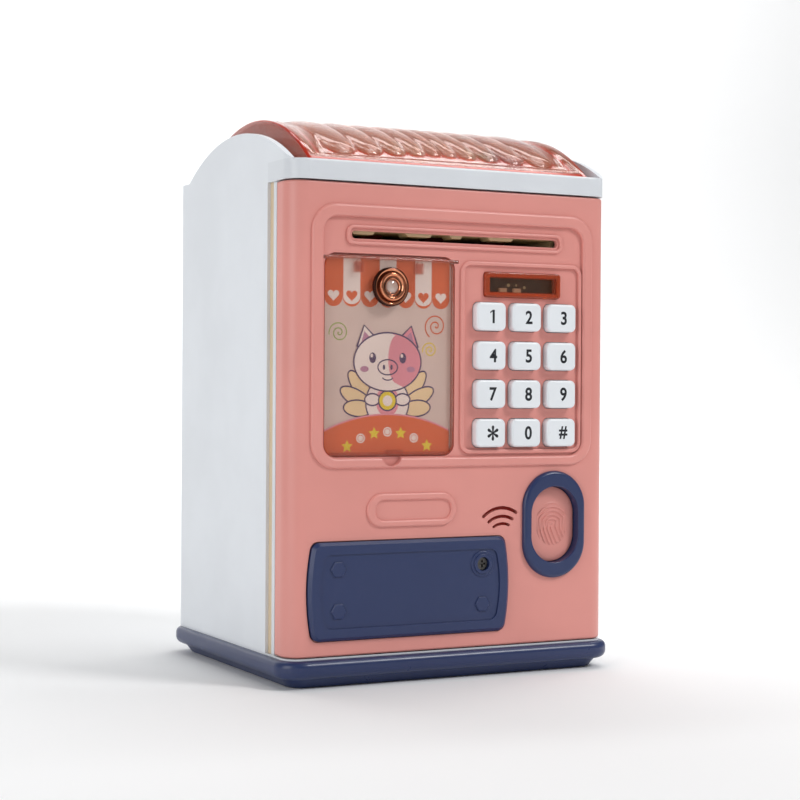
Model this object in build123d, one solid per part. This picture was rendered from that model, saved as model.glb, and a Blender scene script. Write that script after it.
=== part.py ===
from build123d import *
import math
import os

# Toy cash machine savings bank: a free-standing box with a full-width hinged door that
# carries the keypad, note feeder and batteries, under a fluted clear light dome.
# Millimetres. +Z is up and the door faces -Y. The origin is at the middle of the footprint,
# on the surface that the feet stand on. "Depth" is measured from the door face to the back.

os.makedirs("parts", exist_ok=True)

# ------------------------------------------------------------------ driving dimensions
BODY_W = 131.0            # width of shell, door and ledge
BODY_D = 108.6            # door face to back wall
FRONT = -BODY_D / 2       # y of the door face
SIDE = BODY_W / 2         # x of the side planes
WALL = 2.2                # shell wall
FRONT_R = 7.0             # plan radius of the front vertical corners
BACK_R = 4.0              # plan radius of the back vertical corners

LIP = 2.5                 # base lip beyond the body, all round
LIP_Z0 = 3.6              # underside of the base lip
BASE_TOP = 10.1           # top of the base lip
STRIP_TOP = 10.7          # top of the frame's pale strip under the door
TRAY_Z0 = 0.4             # underside of the base tray, above the feet
FLOOR_Z = 3.3             # cash floor
FOOT_R = 5.5
FOOT_T = 1.6

DOOR_Z0 = 11.0
DOOR_Z1 = 177.0
DOOR_D = 12.5             # depth of the door's side walls
DOOR_WALL = 2.3
LEDGE_Z0 = 177.4
DECK_Z = 184.5
LEDGE_PROUD = 0.7         # the ledge stands this far in front of the door
FRAME_D0 = 14.2           # front face of the frame lip behind the door
FRAME_D1 = 16.8           # back face of that lip
SHELL_D0 = 20.0           # the shell starts here, the groove lies before it
LIP_IN = 59.0             # inner edge of the frame's side lips
BAND_IN = 61.9            # inner face of the frame's band behind the lips

HINGE_X = -61.5
HINGE_D = 8.0
PIN_R = 1.5
RUN_FIT = 0.05            # radial clearance of a pin or shaft that turns

GABLE_R = 94.0
GABLE_D = 50.0            # depth of the gable arc's centre
GABLE_Z = 103.8           # height of the gable arc's centre
DOME_R = 80.0
DOME_PEAK = 204.0
DOME_X = 57.5             # half width of the dome
DOME_T = 1.8
DOME_Z = DOME_PEAK - DOME_R
MID_D = BODY_D / 2

TUB_X = 54.0              # half width of the module's tub behind the door
TUB_Z0 = 16.0
TUB_Z1 = 173.5
TUB_D = 35.0
TUB_WALL = 2.0
FLANGE_D0 = 11.4
FLANGE_D1 = 13.0

KEY_W = 12.3
KEY_H = 10.3
KEY_XS = (13.6, 28.65, 43.75)
KEY_ZS = (131.2, 117.0, 103.0, 88.8)
KEY_NAMES = ("1", "2", "3", "4", "5", "6", "7", "8", "9", "star", "0", "hash")
KEY_PROUD = 2.4
KEY_BACK = 3.5            # depth of the back of a key's flange
KEY_TRAVEL = 1.2
FIELD_D = 0.5             # the field inside the upper bead is this much lower

SLOT_Z = 158.8            # centre of the note slot
SLOT_H = 2.8
FEED_D = 19.0             # depth of the feed shafts
DRIVE_R = 4.0
IDLER_R = 3.2
GUIDE_BLOCKS = ((-41.5, -31.0), (-20.0, -8.0), (-2.0, 4.5), (14.0, 26.0))
NIP = 0.4                 # gap between the feed rollers
GEAR_M = 0.8              # gear module
DRIVE_TEETH = 14
IDLER_TEETH = 13
PINION_TEETH = 10
GEAR_X0 = 46.3
GEAR_X1 = 49.3
DRIVE_Z = SLOT_Z + NIP / 2 + DRIVE_R
NIP_ROLL_Z = SLOT_Z - NIP / 2 - IDLER_R
IDLER_Z = DRIVE_Z - GEAR_M * (DRIVE_TEETH + IDLER_TEETH) / 2
MOTOR_Z = IDLER_Z - GEAR_M * (IDLER_TEETH + PINION_TEETH) / 2

CELL_R = 7.15             # AA cell
CELL_L = 50.5
CELL_X0 = -44.5
CELL_ROWS = ((26.8, 9.9), (41.3, 9.9), (34.05, 22.5))   # height and depth of each cell
BAY_X0 = -50.0
BAY_X1 = 18.6
BAY_Z0 = 18.2
BAY_Z1 = 49.9
BAY_D1 = 32.0

WIN = (-52.3, -0.2, 80.6, 152.3)      # picture window: left, right, bottom, top
WIN_R = 4.5
COVER_HINGE_Z = 150.6
COVER_HINGE_D = 1.2
LENS = (-26.6, 140.8)
LENS_R = 7.0

RING_C = (41.7, 54.7)     # centre of the fingerprint ring
RING_W = 26.6
RING_H = 39.7
RING_PROUD = 1.8
PAD_W = 19.8
PAD_H = 27.7
PAD_D = 1.6               # the finger pad lies this far behind the door face

COVER_X0 = -58.4          # battery cover at its bulged sides
COVER_X1 = 22.2
COVER_Z0 = 16.6
COVER_Z1 = 51.0
COVER_BULGE = 1.9
COVER_CORNER_R = 3.2
COVER_BORDER = 4.2        # width of the raised border round the battery cover's field
SCREW_WELL = (4.8, 3.7, 2.5)   # radii of the screw's shoulder, collar and well
COVER_FIELD_D = -1.4      # depth of the field inside the battery cover's border
SCREW_AT = (10.8, 41.3)
SCREW_SEAT_D = 0.1        # depth of the seat under the battery screw's head
HEX_AT = ((-47.1, 41.5), (-47.0, 26.8), (10.8, 26.7))

BOLT_Z = 105.0
BOLT_D0 = 18.0
BOLT_D1 = 22.0
BOLT_H = 8.0
BOLT_TIP = 57.4
POST_X = 57.0
POST_DEPTHS = (27.0, 100.0)
LED_XS = (-33.0, -11.0, 11.0, 33.0)

# ------------------------------------------------------------------ outlines on the door face
# left, right, bottom, top and corner radius
FIELD = (-55.2, 55.9, 78.5, 167.1, 7.8)
FIELD_BEAD = ((-57.5, 58.0, 76.6, 169.4, 9.5), (-53.0, 53.8, 80.3, 164.9, 5.6))
SLOT_RIM = ((-43.9, 44.9, 155.2, 162.2, 2.6), (-42.6, 43.8, 156.4, 161.1, 1.9))
SLOT = (-41.7, 43.1, SLOT_Z - SLOT_H / 2, SLOT_Z + SLOT_H / 2, 1.3)
KEYPAD_RIM = ((1.9, 53.6, 81.2, 151.2, 4.0), (3.5, 52.2, 82.8, 149.7, 2.6))
DISPLAY_SEAT = (11.7, 44.3, 138.2, 147.7, 1.3)
DISPLAY_HOLE = (13.0, 43.0, 139.4, 146.5, 0.8)
PILL = ((-35.6, 0.3, 55.6, 67.7, 6.0), (-32.2, -1.8, 58.1, 65.1, 3.4))
BAY_MOUTH = (BAY_X0 + 1.3, BAY_X1 - 1.3, BAY_Z0 + 1.3, BAY_Z1 - 1.3, 1.5)

# ------------------------------------------------------------------ repeated places
FEET = [(x, y) for x in (-46.0, 46.0) for y in (-38.0, 38.0)]
TONGUES = [(x, depth) for x in (-50.0, 50.0) for depth in (10.0, 98.6)]
COVER_SCREWS = [(-56.6, 58.0), (-56.6, 112.0), (-56.6, 166.0), (56.6, 24.0), (56.6, 92.0), (56.6, 166.0)]
STANDOFFS = [(x, z) for x in (-47.0, -5.0) for z in (81.5, 146.5)]
ROLLER_XS = (-26.0, 0.0, 26.0)
ROLLER_W = 8.0
FLUTE_EDGES = (-46.2, -34.1, -23.0, -13.6, -5.9, 1.1, 8.4, 16.4, 26.3, 37.5, 49.0)
FLUTE_RISE = 0.9
FLUTE_HALF_ANGLE = 34.5


# ------------------------------------------------------------------ shape helpers
def y_at(depth):
    """The y of a depth behind the door face."""
    return FRONT + depth


def block(x0, x1, d0, d1, z0, z1):
    """A box between two x, two depths and two heights, each pair in either order."""
    middle = Pos((x0 + x1) / 2, y_at((d0 + d1) / 2), (z0 + z1) / 2)
    return middle * Box(abs(x1 - x0), abs(d1 - d0), abs(z1 - z0))


def outline(x0, x1, z0, z1, radius):
    """A round-cornered rectangle seen from the front."""
    return Pos((x0 + x1) / 2, (z0 + z1) / 2) * RectangleRounded(x1 - x0, z1 - z0, radius)


def oval(width, height, grow=0.0):
    """An upright oval round the fingerprint ring's centre."""
    return Pos(*RING_C) * SlotOverall(height + 2 * grow, width + 2 * grow, rotation=90)


def through(sketch, d0, d1):
    """Extrude a front outline between two depths."""
    return extrude(Plane.XZ.offset(-y_at(d1)) * sketch, d1 - d0)


def bead(edges, d0, d1, rounding):
    """A raised ring between an outer and an inner outline, rounded along its front edges."""
    outer, inner = edges
    ring = through(outline(*outer) - outline(*inner), d0, d1)
    return fillet(ring.faces().sort_by(Axis.Y)[0].edges(), rounding)


def plan(half_width, d0, d1, z0, z1, front_r=0.0, back_r=0.0):
    """A block with round vertical corners at the front and at the back."""
    sketch = Pos(0, y_at((d0 + d1) / 2)) * Rectangle(2 * half_width, d1 - d0)
    if front_r:
        sketch = fillet(sketch.vertices().group_by(Axis.Y)[0], front_r)
    if back_r:
        sketch = fillet(sketch.vertices().group_by(Axis.Y)[-1], back_r)
    return extrude(Pos(0, 0, z0) * sketch, z1 - z0)


def rod_x(x0, x1, depth, z, radius):
    """A round rod along X."""
    return Pos((x0 + x1) / 2, y_at(depth), z) * Rot(0, 90, 0) * Cylinder(radius, abs(x1 - x0))


def rod_y(d0, d1, x, z, radius):
    """A round rod along the depth."""
    return Pos(x, y_at((d0 + d1) / 2), z) * Rot(90, 0, 0) * Cylinder(radius, abs(d1 - d0))


def rod_z(z0, z1, x, depth, radius):
    """An upright round rod."""
    return Pos(x, y_at(depth), (z0 + z1) / 2) * Cylinder(radius, abs(z1 - z0))


def hexagon_y(d0, d1, x, z, across):
    """A hexagonal boss that points to the front."""
    return through(Pos(x, z) * RegularPolygon(across / math.sqrt(3), 6), d0, d1)


def screw_y(d_head, d_tip, x, z, head_r, head_t, shank_r):
    """A cross-head screw driven along the depth, its head at d_head."""
    inward = 1 if d_tip > d_head else -1
    neck = d_head + inward * head_t
    screw = rod_y(d_head, neck, x, z, head_r) + rod_y(neck, d_tip, x, z, shank_r)
    cut_end = d_head + inward * head_t * 0.6
    arm = head_r * 0.62
    groove = head_r * 0.16
    screw -= block(x - arm, x + arm, d_head, cut_end, z - groove, z + groove)
    return screw - block(x - groove, x + groove, d_head, cut_end, z - arm, z + arm)


def gear(teeth, x0, x1, depth, z, bore, phase):
    """A spur gear on a shaft along X. Its first tooth stands at angle phase above +Y."""
    pitch_r = GEAR_M * teeth / 2
    tip_r = pitch_r + 0.9 * GEAR_M
    root_r = pitch_r - 1.2 * GEAR_M
    base_r = pitch_r * math.cos(math.radians(20))
    half_pitch = math.pi / (2 * teeth) - 0.055 / pitch_r
    inv20 = math.tan(math.radians(20)) - math.radians(20)
    flank = []
    for step in range(5):
        r = max(base_r, root_r) + (tip_r - max(base_r, root_r)) * step / 4
        angle = math.acos(min(1.0, base_r / r))
        flank.append((r, half_pitch + inv20 - (math.tan(angle) - angle)))
    points = []
    for tooth in range(teeth):
        centre = math.radians(phase) + 2 * math.pi * tooth / teeth
        points.append((root_r, centre - flank[0][1]))
        points += [(r, centre - a) for r, a in flank]
        points += [(r, centre + a) for r, a in reversed(flank)]
        points.append((root_r, centre + flank[0][1]))
    outline_points = [(r * math.cos(a), r * math.sin(a)) for r, a in points]
    blank = make_face(Polyline(*outline_points, close=True)) - Circle(bore)
    return extrude(Plane.YZ.offset(x0) * Pos(y_at(depth), z) * blank, x1 - x0)


def write(name, shape):
    """Write one node: one solid, or one group of separate solids."""
    solids = list(shape.solids())
    body = solids[0] if len(solids) == 1 else Compound(children=solids)
    body.label = name
    export_step(body, f"parts/{name}.step")
    print(name, len(solids))


def group(parts):
    """Several separate solids as one node."""
    return Compound(children=[solid for part in parts for solid in part.solids()])


# ------------------------------------------------------------------ housing that stands still
def gable(side):
    """The round end plate of the roof, above the deck on one side plane."""
    arc = Pos(y_at(GABLE_D), GABLE_Z) * Circle(GABLE_R)
    arc -= Pos(y_at(GABLE_D), DECK_Z - 100) * Rectangle(400, 200)
    plate = extrude(Plane.YZ.offset(min(side * SIDE, side * (SIDE - WALL))) * arc, WALL)
    return plate & plan(SIDE, -LEDGE_PROUD, BODY_D, DECK_Z, DECK_Z + 40, FRONT_R, BACK_R)


def roof_tongue(x, depth, z0, grow=0.0):
    """A snap tongue of the roof cover, or the slot for it."""
    return block(x - 2.5 - grow, x + 2.5 + grow, depth - 0.8 - grow, depth + 0.8 + grow, z0, DECK_Z)


def body_shell():
    shell = plan(SIDE, SHELL_D0, BODY_D, BASE_TOP, DECK_Z, 0, BACK_R)
    shell -= plan(SIDE - WALL, SHELL_D0, BODY_D - WALL, BASE_TOP, DECK_Z - WALL, 0, BACK_R - WALL)
    for side in (-1, 1):
        shell += gable(side)
        for depth in POST_DEPTHS:
            post = rod_z(FLOOR_Z, 14.0, side * POST_X, depth, 3.2)
            wall_x = side * (SIDE - WALL + 0.5)
            post += block(side * POST_X, wall_x, depth - 1.0, depth + 1.0, BASE_TOP, 14.0)
            shell += post - rod_z(FLOOR_Z, 12.0, side * POST_X, depth, 1.3)
    for x, depth in TONGUES:
        if depth > SHELL_D0:
            shell -= roof_tongue(x, depth, DECK_Z - WALL, 0.3)
    return shell


def front_frame():
    frame = plan(SIDE, -LEDGE_PROUD, SHELL_D0, LEDGE_Z0, DECK_Z, FRONT_R)
    frame = fillet(frame.faces().sort_by(Axis.Z)[-1].edges().sort_by(Axis.Y)[:3], 0.8)
    square_top = plan(SIDE, -LEDGE_PROUD, SHELL_D0, DECK_Z - 1, DECK_Z, FRONT_R)
    for side in (-1, 1):
        under_gable = block(side * (SIDE - WALL), side * SIDE, 2.0, SHELL_D0, DECK_Z - 1, DECK_Z)
        frame += square_top & under_gable
    frame -= block(-61.5, 61.5, 1.8, SHELL_D0, LEDGE_Z0 + WALL, DECK_Z - WALL)
    frame += block(-61.0, 61.0, SHELL_D0 - 2, SHELL_D0 + 3, DECK_Z - WALL - 1.7, DECK_Z - WALL - 0.1)
    frame += block(-61.0, 61.0, SHELL_D0 - 2, SHELL_D0, DECK_Z - WALL - 1.7, DECK_Z - WALL)
    frame += plan(SIDE, 0.5, SHELL_D0, BASE_TOP, STRIP_TOP, FRONT_R - 1) - block(-56, 56, 17, 30, 0, 20)
    frame += block(-SIDE + 1, SIDE - 1, FRAME_D0, FRAME_D1, BASE_TOP, 14.5)
    frame += block(-SIDE + 1, SIDE - 1, FRAME_D0, FRAME_D1, 174.9, LEDGE_Z0)
    for side in (-1, 1):
        frame += block(side * LIP_IN, side * (SIDE - 1), FRAME_D0, FRAME_D1, BASE_TOP, LEDGE_Z0)
    frame += rod_z(LEDGE_Z0, DECK_Z - 0.5, HINGE_X, HINGE_D, 3.4)
    frame += rod_z(5.0, STRIP_TOP, HINGE_X, HINGE_D, 3.2)
    frame -= rod_z(170.0, 183.0, HINGE_X, HINGE_D, PIN_R)
    frame -= rod_z(6.0, 12.0, HINGE_X, HINGE_D, PIN_R)
    for x, depth in TONGUES:
        if depth < SHELL_D0:
            frame -= roof_tongue(x, depth, DECK_Z - WALL, 0.3)
    return frame


def side_bands():
    """The sunk strips between the frame's side lips and the shell."""
    bands = []
    for side in (-1, 1):
        band = block(side * BAND_IN, side * 64.3, FRAME_D1, SHELL_D0, STRIP_TOP, LEDGE_Z0)
        band += block(side * BAND_IN, side * 63.2, SHELL_D0, SHELL_D0 + 3, STRIP_TOP, LEDGE_Z0)
        bands.append(band)
    return group(bands)


def hinge_pins():
    upper = rod_z(170.0, 183.0, HINGE_X, HINGE_D, PIN_R)
    lower = rod_z(6.0, 17.4, HINGE_X, HINGE_D, PIN_R)
    return group([upper, lower])


def latch_keeper():
    plate = block(LIP_IN + 0.2, 61.8, FRAME_D1, FRAME_D1 + 0.8, BOLT_Z - 9, BOLT_Z + 9)
    return fillet(plate.edges().filter_by(Axis.Y), 0.6)


def base_tray():
    lip = extrude(Pos(0, 0, LIP_Z0) * RectangleRounded(BODY_W + 2 * LIP, BODY_D + 2 * LIP, 9.0),
                  BASE_TOP - LIP_Z0)
    lip = fillet(lip.faces().sort_by(Axis.Z)[-1].edges(), 2.3)
    lip = fillet(lip.faces().sort_by(Axis.Z)[0].edges(), 2.8)
    foot_plan = Pos(0, 0, TRAY_Z0) * RectangleRounded(BODY_W - 6, BODY_D - 6, 6.0)
    top_plan = Pos(0, 0, LIP_Z0 + 0.5) * RectangleRounded(BODY_W - 1, BODY_D - 1, 7.0)
    tray = lip + loft([foot_plan.faces()[0], top_plan.faces()[0]])
    tray -= extrude(Pos(0, 0, FLOOR_Z) * RectangleRounded(121.6, 99.0, 3.0), 10)
    tray -= rod_z(4.6, 12.0, HINGE_X, HINGE_D, 3.5)
    for x in (-POST_X, POST_X):
        for depth in POST_DEPTHS:
            tray -= rod_z(0, 5, x, depth, 1.6)
            tray -= rod_z(TRAY_Z0, 2.3, x, depth, 3.1)
    for x, y in FEET:
        tray -= Pos(x, y, FOOT_T / 2) * Cylinder(FOOT_R, FOOT_T)
    return tray


def rubber_feet():
    pads = []
    for x, y in FEET:
        pad = Pos(x, y, FOOT_T / 2) * Cylinder(FOOT_R, FOOT_T)
        pads.append(fillet(pad.faces().sort_by(Axis.Z)[0].edges(), 0.5))
    return group(pads)


def base_screws():
    screws = []
    for x in (-POST_X, POST_X):
        for depth in POST_DEPTHS:
            head = rod_z(1.0, 2.3, x, depth, 2.8)
            screw = head + rod_z(2.3, 11.5, x, depth, 1.3)
            arm = 1.7
            screw -= block(x - arm, x + arm, depth - 0.35, depth + 0.35, 0, 1.7)
            screw -= block(x - 0.35, x + 0.35, depth - arm, depth + arm, 0, 1.7)
            screws.append(screw)
    return group(screws)


# ------------------------------------------------------------------ lighted roof
def flute(x0, x1):
    """One round flute over the dome: a chord segment turned about the dome's axis."""
    top = (x0 + x1) / 2, DOME_R + FLUTE_RISE
    arc = ThreePointArc((x0, DOME_R - 0.6), top, (x1, DOME_R - 0.6))
    segment = make_face(arc + Line(arc @ 1, arc @ 0))
    plane = Plane(origin=(0, y_at(MID_D), DOME_Z), x_dir=(1, 0, 0), z_dir=(0, -1, 0))
    turned = plane.rotated((-FLUTE_HALF_ANGLE, 0, 0)) * segment
    axis = Axis((0, y_at(MID_D), DOME_Z), (1, 0, 0))
    return revolve(turned, axis, 2 * FLUTE_HALF_ANGLE)


def roof_cover():
    dome = rod_x(-DOME_X, DOME_X, MID_D, DOME_Z, DOME_R)
    dome = fillet(dome.edges().filter_by(GeomType.CIRCLE), 0.9)
    for x0, x1 in zip(FLUTE_EDGES[:-1], FLUTE_EDGES[1:]):
        dome += flute(x0 + 0.2, x1 - 0.2)
    dome -= rod_x(-DOME_X + DOME_T, DOME_X - DOME_T, MID_D, DOME_Z, DOME_R - DOME_T)
    dome &= block(-DOME_X, DOME_X, -5, BODY_D + 5, DECK_Z, DECK_Z + 60)
    for x, depth in TONGUES:
        arm_z0 = DECK_Z - WALL - 1.0
        tongue = block(x - 2.5, x + 2.5, depth - 0.8, depth + 0.8, arm_z0, DECK_Z + 9)
        inward = 1 if depth > MID_D else -1
        tongue += block(x - 2.5, x + 2.5, depth, depth + inward * 1.1, arm_z0, arm_z0 + 0.7)
        dome += tongue & rod_x(-DOME_X, DOME_X, MID_D, DOME_Z, DOME_R - 0.4)
    return dome


def roof_reflector():
    tray = block(-53.5, 53.5, 12.6, 96.0, DECK_Z, DECK_Z + 3.6)
    tray = fillet(tray.edges().filter_by(Axis.Z), 4.0)
    inner = block(-52.3, 52.3, 13.8, 94.8, DECK_Z, DECK_Z + 2.4)
    tray -= fillet(inner.edges().filter_by(Axis.Z), 2.8)
    for x in LED_XS:
        tray += rod_z(DECK_Z + 2.4, DECK_Z + 6.4, x, MID_D, 5.2)
        tray -= rod_z(DECK_Z + 2.0, DECK_Z + 7.0, x, MID_D, 4.0)
    return tray


def roof_light_board():
    board = block(-45, 45, MID_D - 9, MID_D + 9, DECK_Z, DECK_Z + 1.6)
    return fillet(board.edges().filter_by(Axis.Z), 1.5)


def roof_leds():
    lamps = []
    for x in LED_XS:
        base = rod_z(DECK_Z + 1.6, DECK_Z + 2.4, x, MID_D, 3.0)
        body = rod_z(DECK_Z + 2.4, DECK_Z + 6.0, x, MID_D, 2.5)
        dome = Pos(x, y_at(MID_D), DECK_Z + 6.0) * Sphere(2.5)
        lamps.append(base + body + dome)
    return group(lamps)


# ------------------------------------------------------------------ door and its front details
def key_places():
    """The middle of each key, in reading order."""
    return [(x, z) for z in KEY_ZS for x in KEY_XS]


def battery_outline(grow=0.0):
    """The battery cover's outline: straight top and bottom, bulged ends."""
    left = COVER_X0 + COVER_BULGE - grow
    right = COVER_X1 - COVER_BULGE + grow
    low = COVER_Z0 - grow
    high = COVER_Z1 + grow
    middle = (low + high) / 2
    edges = Line((left, low), (right, low))
    edges += ThreePointArc((right, low), (right + COVER_BULGE, middle), (right, high))
    edges += Line((right, high), (left, high))
    edges += ThreePointArc((left, high), (left - COVER_BULGE, middle), (left, low))
    face = make_face(edges)
    return fillet(face.vertices(), COVER_CORNER_R)


def arc_slot(x, z, half_chord, rise, width):
    """One curved speaker slot, tilted a little like its neighbours."""
    arc = ThreePointArc((-half_chord, 0), (0, rise), (half_chord, 0))
    return Pos(x, z) * Rot(0, 0, 5.0) * SlotArc(arc, width)


def speaker_slots():
    slots = arc_slot(18.9, 58.9, 6.9, 2.4, 1.3)
    slots += arc_slot(19.2, 56.7, 5.0, 1.5, 1.2)
    slots += arc_slot(19.5, 54.7, 3.2, 0.8, 1.1)
    return slots


def door_blank():
    """The door's plain tray with the picture recess, posts and bosses inside."""
    door = plan(SIDE, 0, DOOR_D, DOOR_Z0, DOOR_Z1, FRONT_R)
    back_left = door.edges().filter_by(Axis.Z).group_by(Axis.Y)[-1].sort_by(Axis.X)[0]
    door = chamfer(back_left, 1.0)
    for end in (0, -1):
        door = fillet(door.faces().sort_by(Axis.Z)[end].edges().sort_by(Axis.Y)[:3], 0.9)
    door -= plan(SIDE - DOOR_WALL, DOOR_WALL, DOOR_D, DOOR_Z0 + DOOR_WALL, DOOR_Z1 - DOOR_WALL,
                 FRONT_R - DOOR_WALL)
    door += through(outline(WIN[0] - 2.0, WIN[1] + 2.0, WIN[2] - 2.0, WIN[3] + 2.0, WIN_R + 2), 1, 5.2)
    for z0, z1 in ((DOOR_Z0, 24.0), (164.0, DOOR_Z1)):
        door += rod_z(z0, z1, HINGE_X, HINGE_D, 3.2)
    for x, z in COVER_SCREWS:
        door += rod_y(DOOR_WALL - 0.5, FLANGE_D0, x, z, 2.8) - rod_y(4.0, FLANGE_D0, x, z, 1.1)
    for x, z in STANDOFFS:
        door += rod_y(5.0, 24.0, x, z, 2.2)
    return door


def door_panel():
    door = door_blank()
    door -= rod_z(0, 17.6, HINGE_X, HINGE_D, PIN_R + RUN_FIT)
    door -= rod_z(169.8, 200.0, HINGE_X, HINGE_D, PIN_R + RUN_FIT)

    # upper field: sunk inside a round bead, with a thumb notch below the picture
    door -= through(outline(*FIELD), -1, FIELD_D)
    door += bead(FIELD_BEAD, -1.2, FIELD_D + 0.3, 1.1)
    door -= rod_y(-2, 1.2, -26.2, 81.5, 4.2)

    # picture recess, with bores for the cover's hinge stubs
    door -= through(outline(*WIN, WIN_R), -2, 3.2)
    door -= rod_x(WIN[0] - 1.4, WIN[1] + 1.4, COVER_HINGE_D, COVER_HINGE_Z, 0.95)
    door -= rod_y(2, 6, *LENS, 3.0)

    # note slot in its own raised rim
    door += bead(SLOT_RIM, -0.5, FIELD_D + 0.3, 0.5)
    door -= through(outline(*SLOT), -2, 6)

    # keypad frame, key holes and display window
    door += bead(KEYPAD_RIM, -0.4, FIELD_D + 0.3, 0.5)
    door -= through(outline(*KEYPAD_RIM[1]), -1, FIELD_D + 0.3)
    for x, z in key_places():
        door -= through(Pos(x, z) * RectangleRounded(KEY_W + 0.5, KEY_H + 0.5, 2.3), -2, 6)
    door -= through(outline(*DISPLAY_SEAT), -2, 1.5)
    door -= through(outline(*DISPLAY_HOLE), -2, 6)

    # pill-shaped raised ring and speaker slots
    door += bead(PILL, -1.0, 0.3, 0.9)
    door -= through(speaker_slots(), -1, 6)

    # fingerprint ring seat, battery bay and its cover's seat
    door -= through(oval(RING_W - 2.6, RING_H - 2.6), -1, 6)
    door -= through(battery_outline(0.4), -1, 1.0)
    door -= through(outline(*BAY_MOUTH), -1, 6)
    return door


def door_back_cover():
    cover = block(-62.9, 62.9, FLANGE_D0, FLANGE_D1, DOOR_Z0 + 2.6, DOOR_Z1 - 2.6)
    tub = block(-TUB_X, TUB_X, FLANGE_D0, TUB_D, TUB_Z0, TUB_Z1)
    tub = fillet(tub.edges().filter_by(Axis.Z).group_by(Axis.Y)[-1], 3.0)
    cover += tub
    cover -= block(-TUB_X + TUB_WALL, TUB_X - TUB_WALL, 0, TUB_D - TUB_WALL,
                   TUB_Z0 + TUB_WALL, TUB_Z1 - TUB_WALL)
    cover -= block(-42.5, 43.5, 30, 40, SLOT_Z - 3.5, SLOT_Z + 3.5)
    cover -= block(50, 60, BOLT_D0 - 0.4, BOLT_D1 + 0.4, BOLT_Z - BOLT_H / 2 - 0.4, BOLT_Z + BOLT_H / 2 + 0.4)
    for x, z in COVER_SCREWS:
        cover -= rod_y(10, 14, x, z, 1.4)
    return cover


def door_cover_screws():
    return group([screw_y(14.0, 6.0, x, z, 2.0, 1.0, 1.1) for x, z in COVER_SCREWS])


def key(x, z):
    """A key cap with soft edges, a flange that keeps it in, and its stem."""
    cap = through(Pos(x, z) * RectangleRounded(KEY_W, KEY_H, 2.1), -KEY_PROUD, 2.6)
    cap = fillet(cap.faces().sort_by(Axis.Y)[0].edges(), 0.9)
    cap += through(Pos(x, z) * RectangleRounded(KEY_W + 1.4, KEY_H + 1.6, 2.4), KEY_BACK - 1, KEY_BACK)
    return cap


def keypad_mat():
    mat = through(outline(4.5, 51.0, 83.0, 137.0, 1.5), 6.4, 7.4)
    for x, z in key_places():
        mat += rod_y(KEY_BACK + KEY_TRAVEL + 0.2, 6.5, x, z, 3.4)
    return mat


def keypad_board():
    return through(outline(4.0, 51.5, 82.6, 137.2, 1.0), 7.4, 9.0)


def display_window():
    window = through(outline(11.9, 44.1, 138.4, 147.5, 1.2), -0.6, 1.5)
    window = fillet(window.faces().sort_by(Axis.Y)[0].edges(), 0.5)
    window -= through(outline(13.6, 42.4, 140.0, 145.9, 0.6), -2, 0.1)
    return window + through(outline(13.1, 42.9, 139.5, 146.4, 0.8), 1.4, 2.4)


def display_board():
    return through(outline(9.8, 46.2, 137.9, 149.6, 0.8), 4.2, 5.6)


def display_leds():
    lamps = []
    for x in (21.5, 27.5):
        lamps.append(block(x - 1.6, x + 1.6, 3.2, 4.2, 140.4, 142.0))
    return group(lamps)


def fingerprint_ring():
    """Oval bezel: a rounded rim over a skirt, hollowed for the finger pad."""
    rim = through(oval(RING_W, RING_H), -RING_PROUD, 0)
    rim = fillet(rim.faces().sort_by(Axis.Y)[0].edges(), 1.4)
    ring = rim + through(oval(RING_W - 2.8, RING_H - 2.8), -0.5, 5.0)
    ring -= through(oval(PAD_W, PAD_H, 0.25), -3, 6)
    return fillet(ring.faces().sort_by(Axis.Y)[0].inner_wires()[0].edges(), 0.4)


def fingerprint_pad():
    pad = through(oval(PAD_W, PAD_H), PAD_D, 5.3)
    pad = fillet(pad.faces().sort_by(Axis.Y)[0].edges(), 0.8)
    pad += through(oval(PAD_W, PAD_H, 1.4), 5.2, 6.2)
    for ridge in range(4):
        width = 3.6 + 3.4 * ridge
        height = 5.4 + 4.6 * ridge
        line = oval(width, height, 0.25) - oval(width, height, -0.35)
        pad += through(line, PAD_D - 0.3, PAD_D + 0.2)
    return pad


def fingerprint_switch():
    x, z = RING_C
    board = block(x - 9, x + 9, 10.0, 11.2, z - 7, z + 7)
    return board + block(x - 3, x + 3, 8.2, 10.1, z - 3, z + 3) + rod_y(7.4, 8.3, x, z, 1.7)


def speaker():
    frame = rod_y(3.0, 7.0, 17.0, 62.5, 10.0) - rod_y(2.0, 4.2, 17.0, 62.5, 9.0)
    return frame + rod_y(7.0, 10.5, 17.0, 62.5, 6.2)


def main_board():
    return through(outline(-50.5, -1.5, 78.0, 150.0, 1.5), 24.0, 25.6)


def board_parts():
    """Chip, driver, connector and capacitors that stand on the main board."""
    chip = block(-34, -20, 25.6, 27.2, 108, 122)
    driver = block(-16, -8, 25.6, 27.0, 96, 106)
    plug = block(-44, -30, 25.6, 30.0, 84, 90)
    cans = [rod_y(25.6, 32.0, x, 134.0, 3.0) for x in (-14.0, -22.5)]
    return group([chip, driver, plug] + cans)


def picture_card():
    card = through(outline(WIN[0] + 0.5, WIN[1] - 0.5, WIN[2] + 0.5, WIN[3] - 0.5, WIN_R - 0.5), 2.8, 3.2)
    return card - rod_y(2, 4, *LENS, 3.2)


def scan_led():
    x, z = LENS
    lamp = rod_y(4.6, 9.0, x, z, 2.4) + Pos(x, y_at(4.6), z) * Sphere(2.4)
    return lamp + block(x - 6, x + 6, 9.0, 10.2, z - 5, z + 5)


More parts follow.
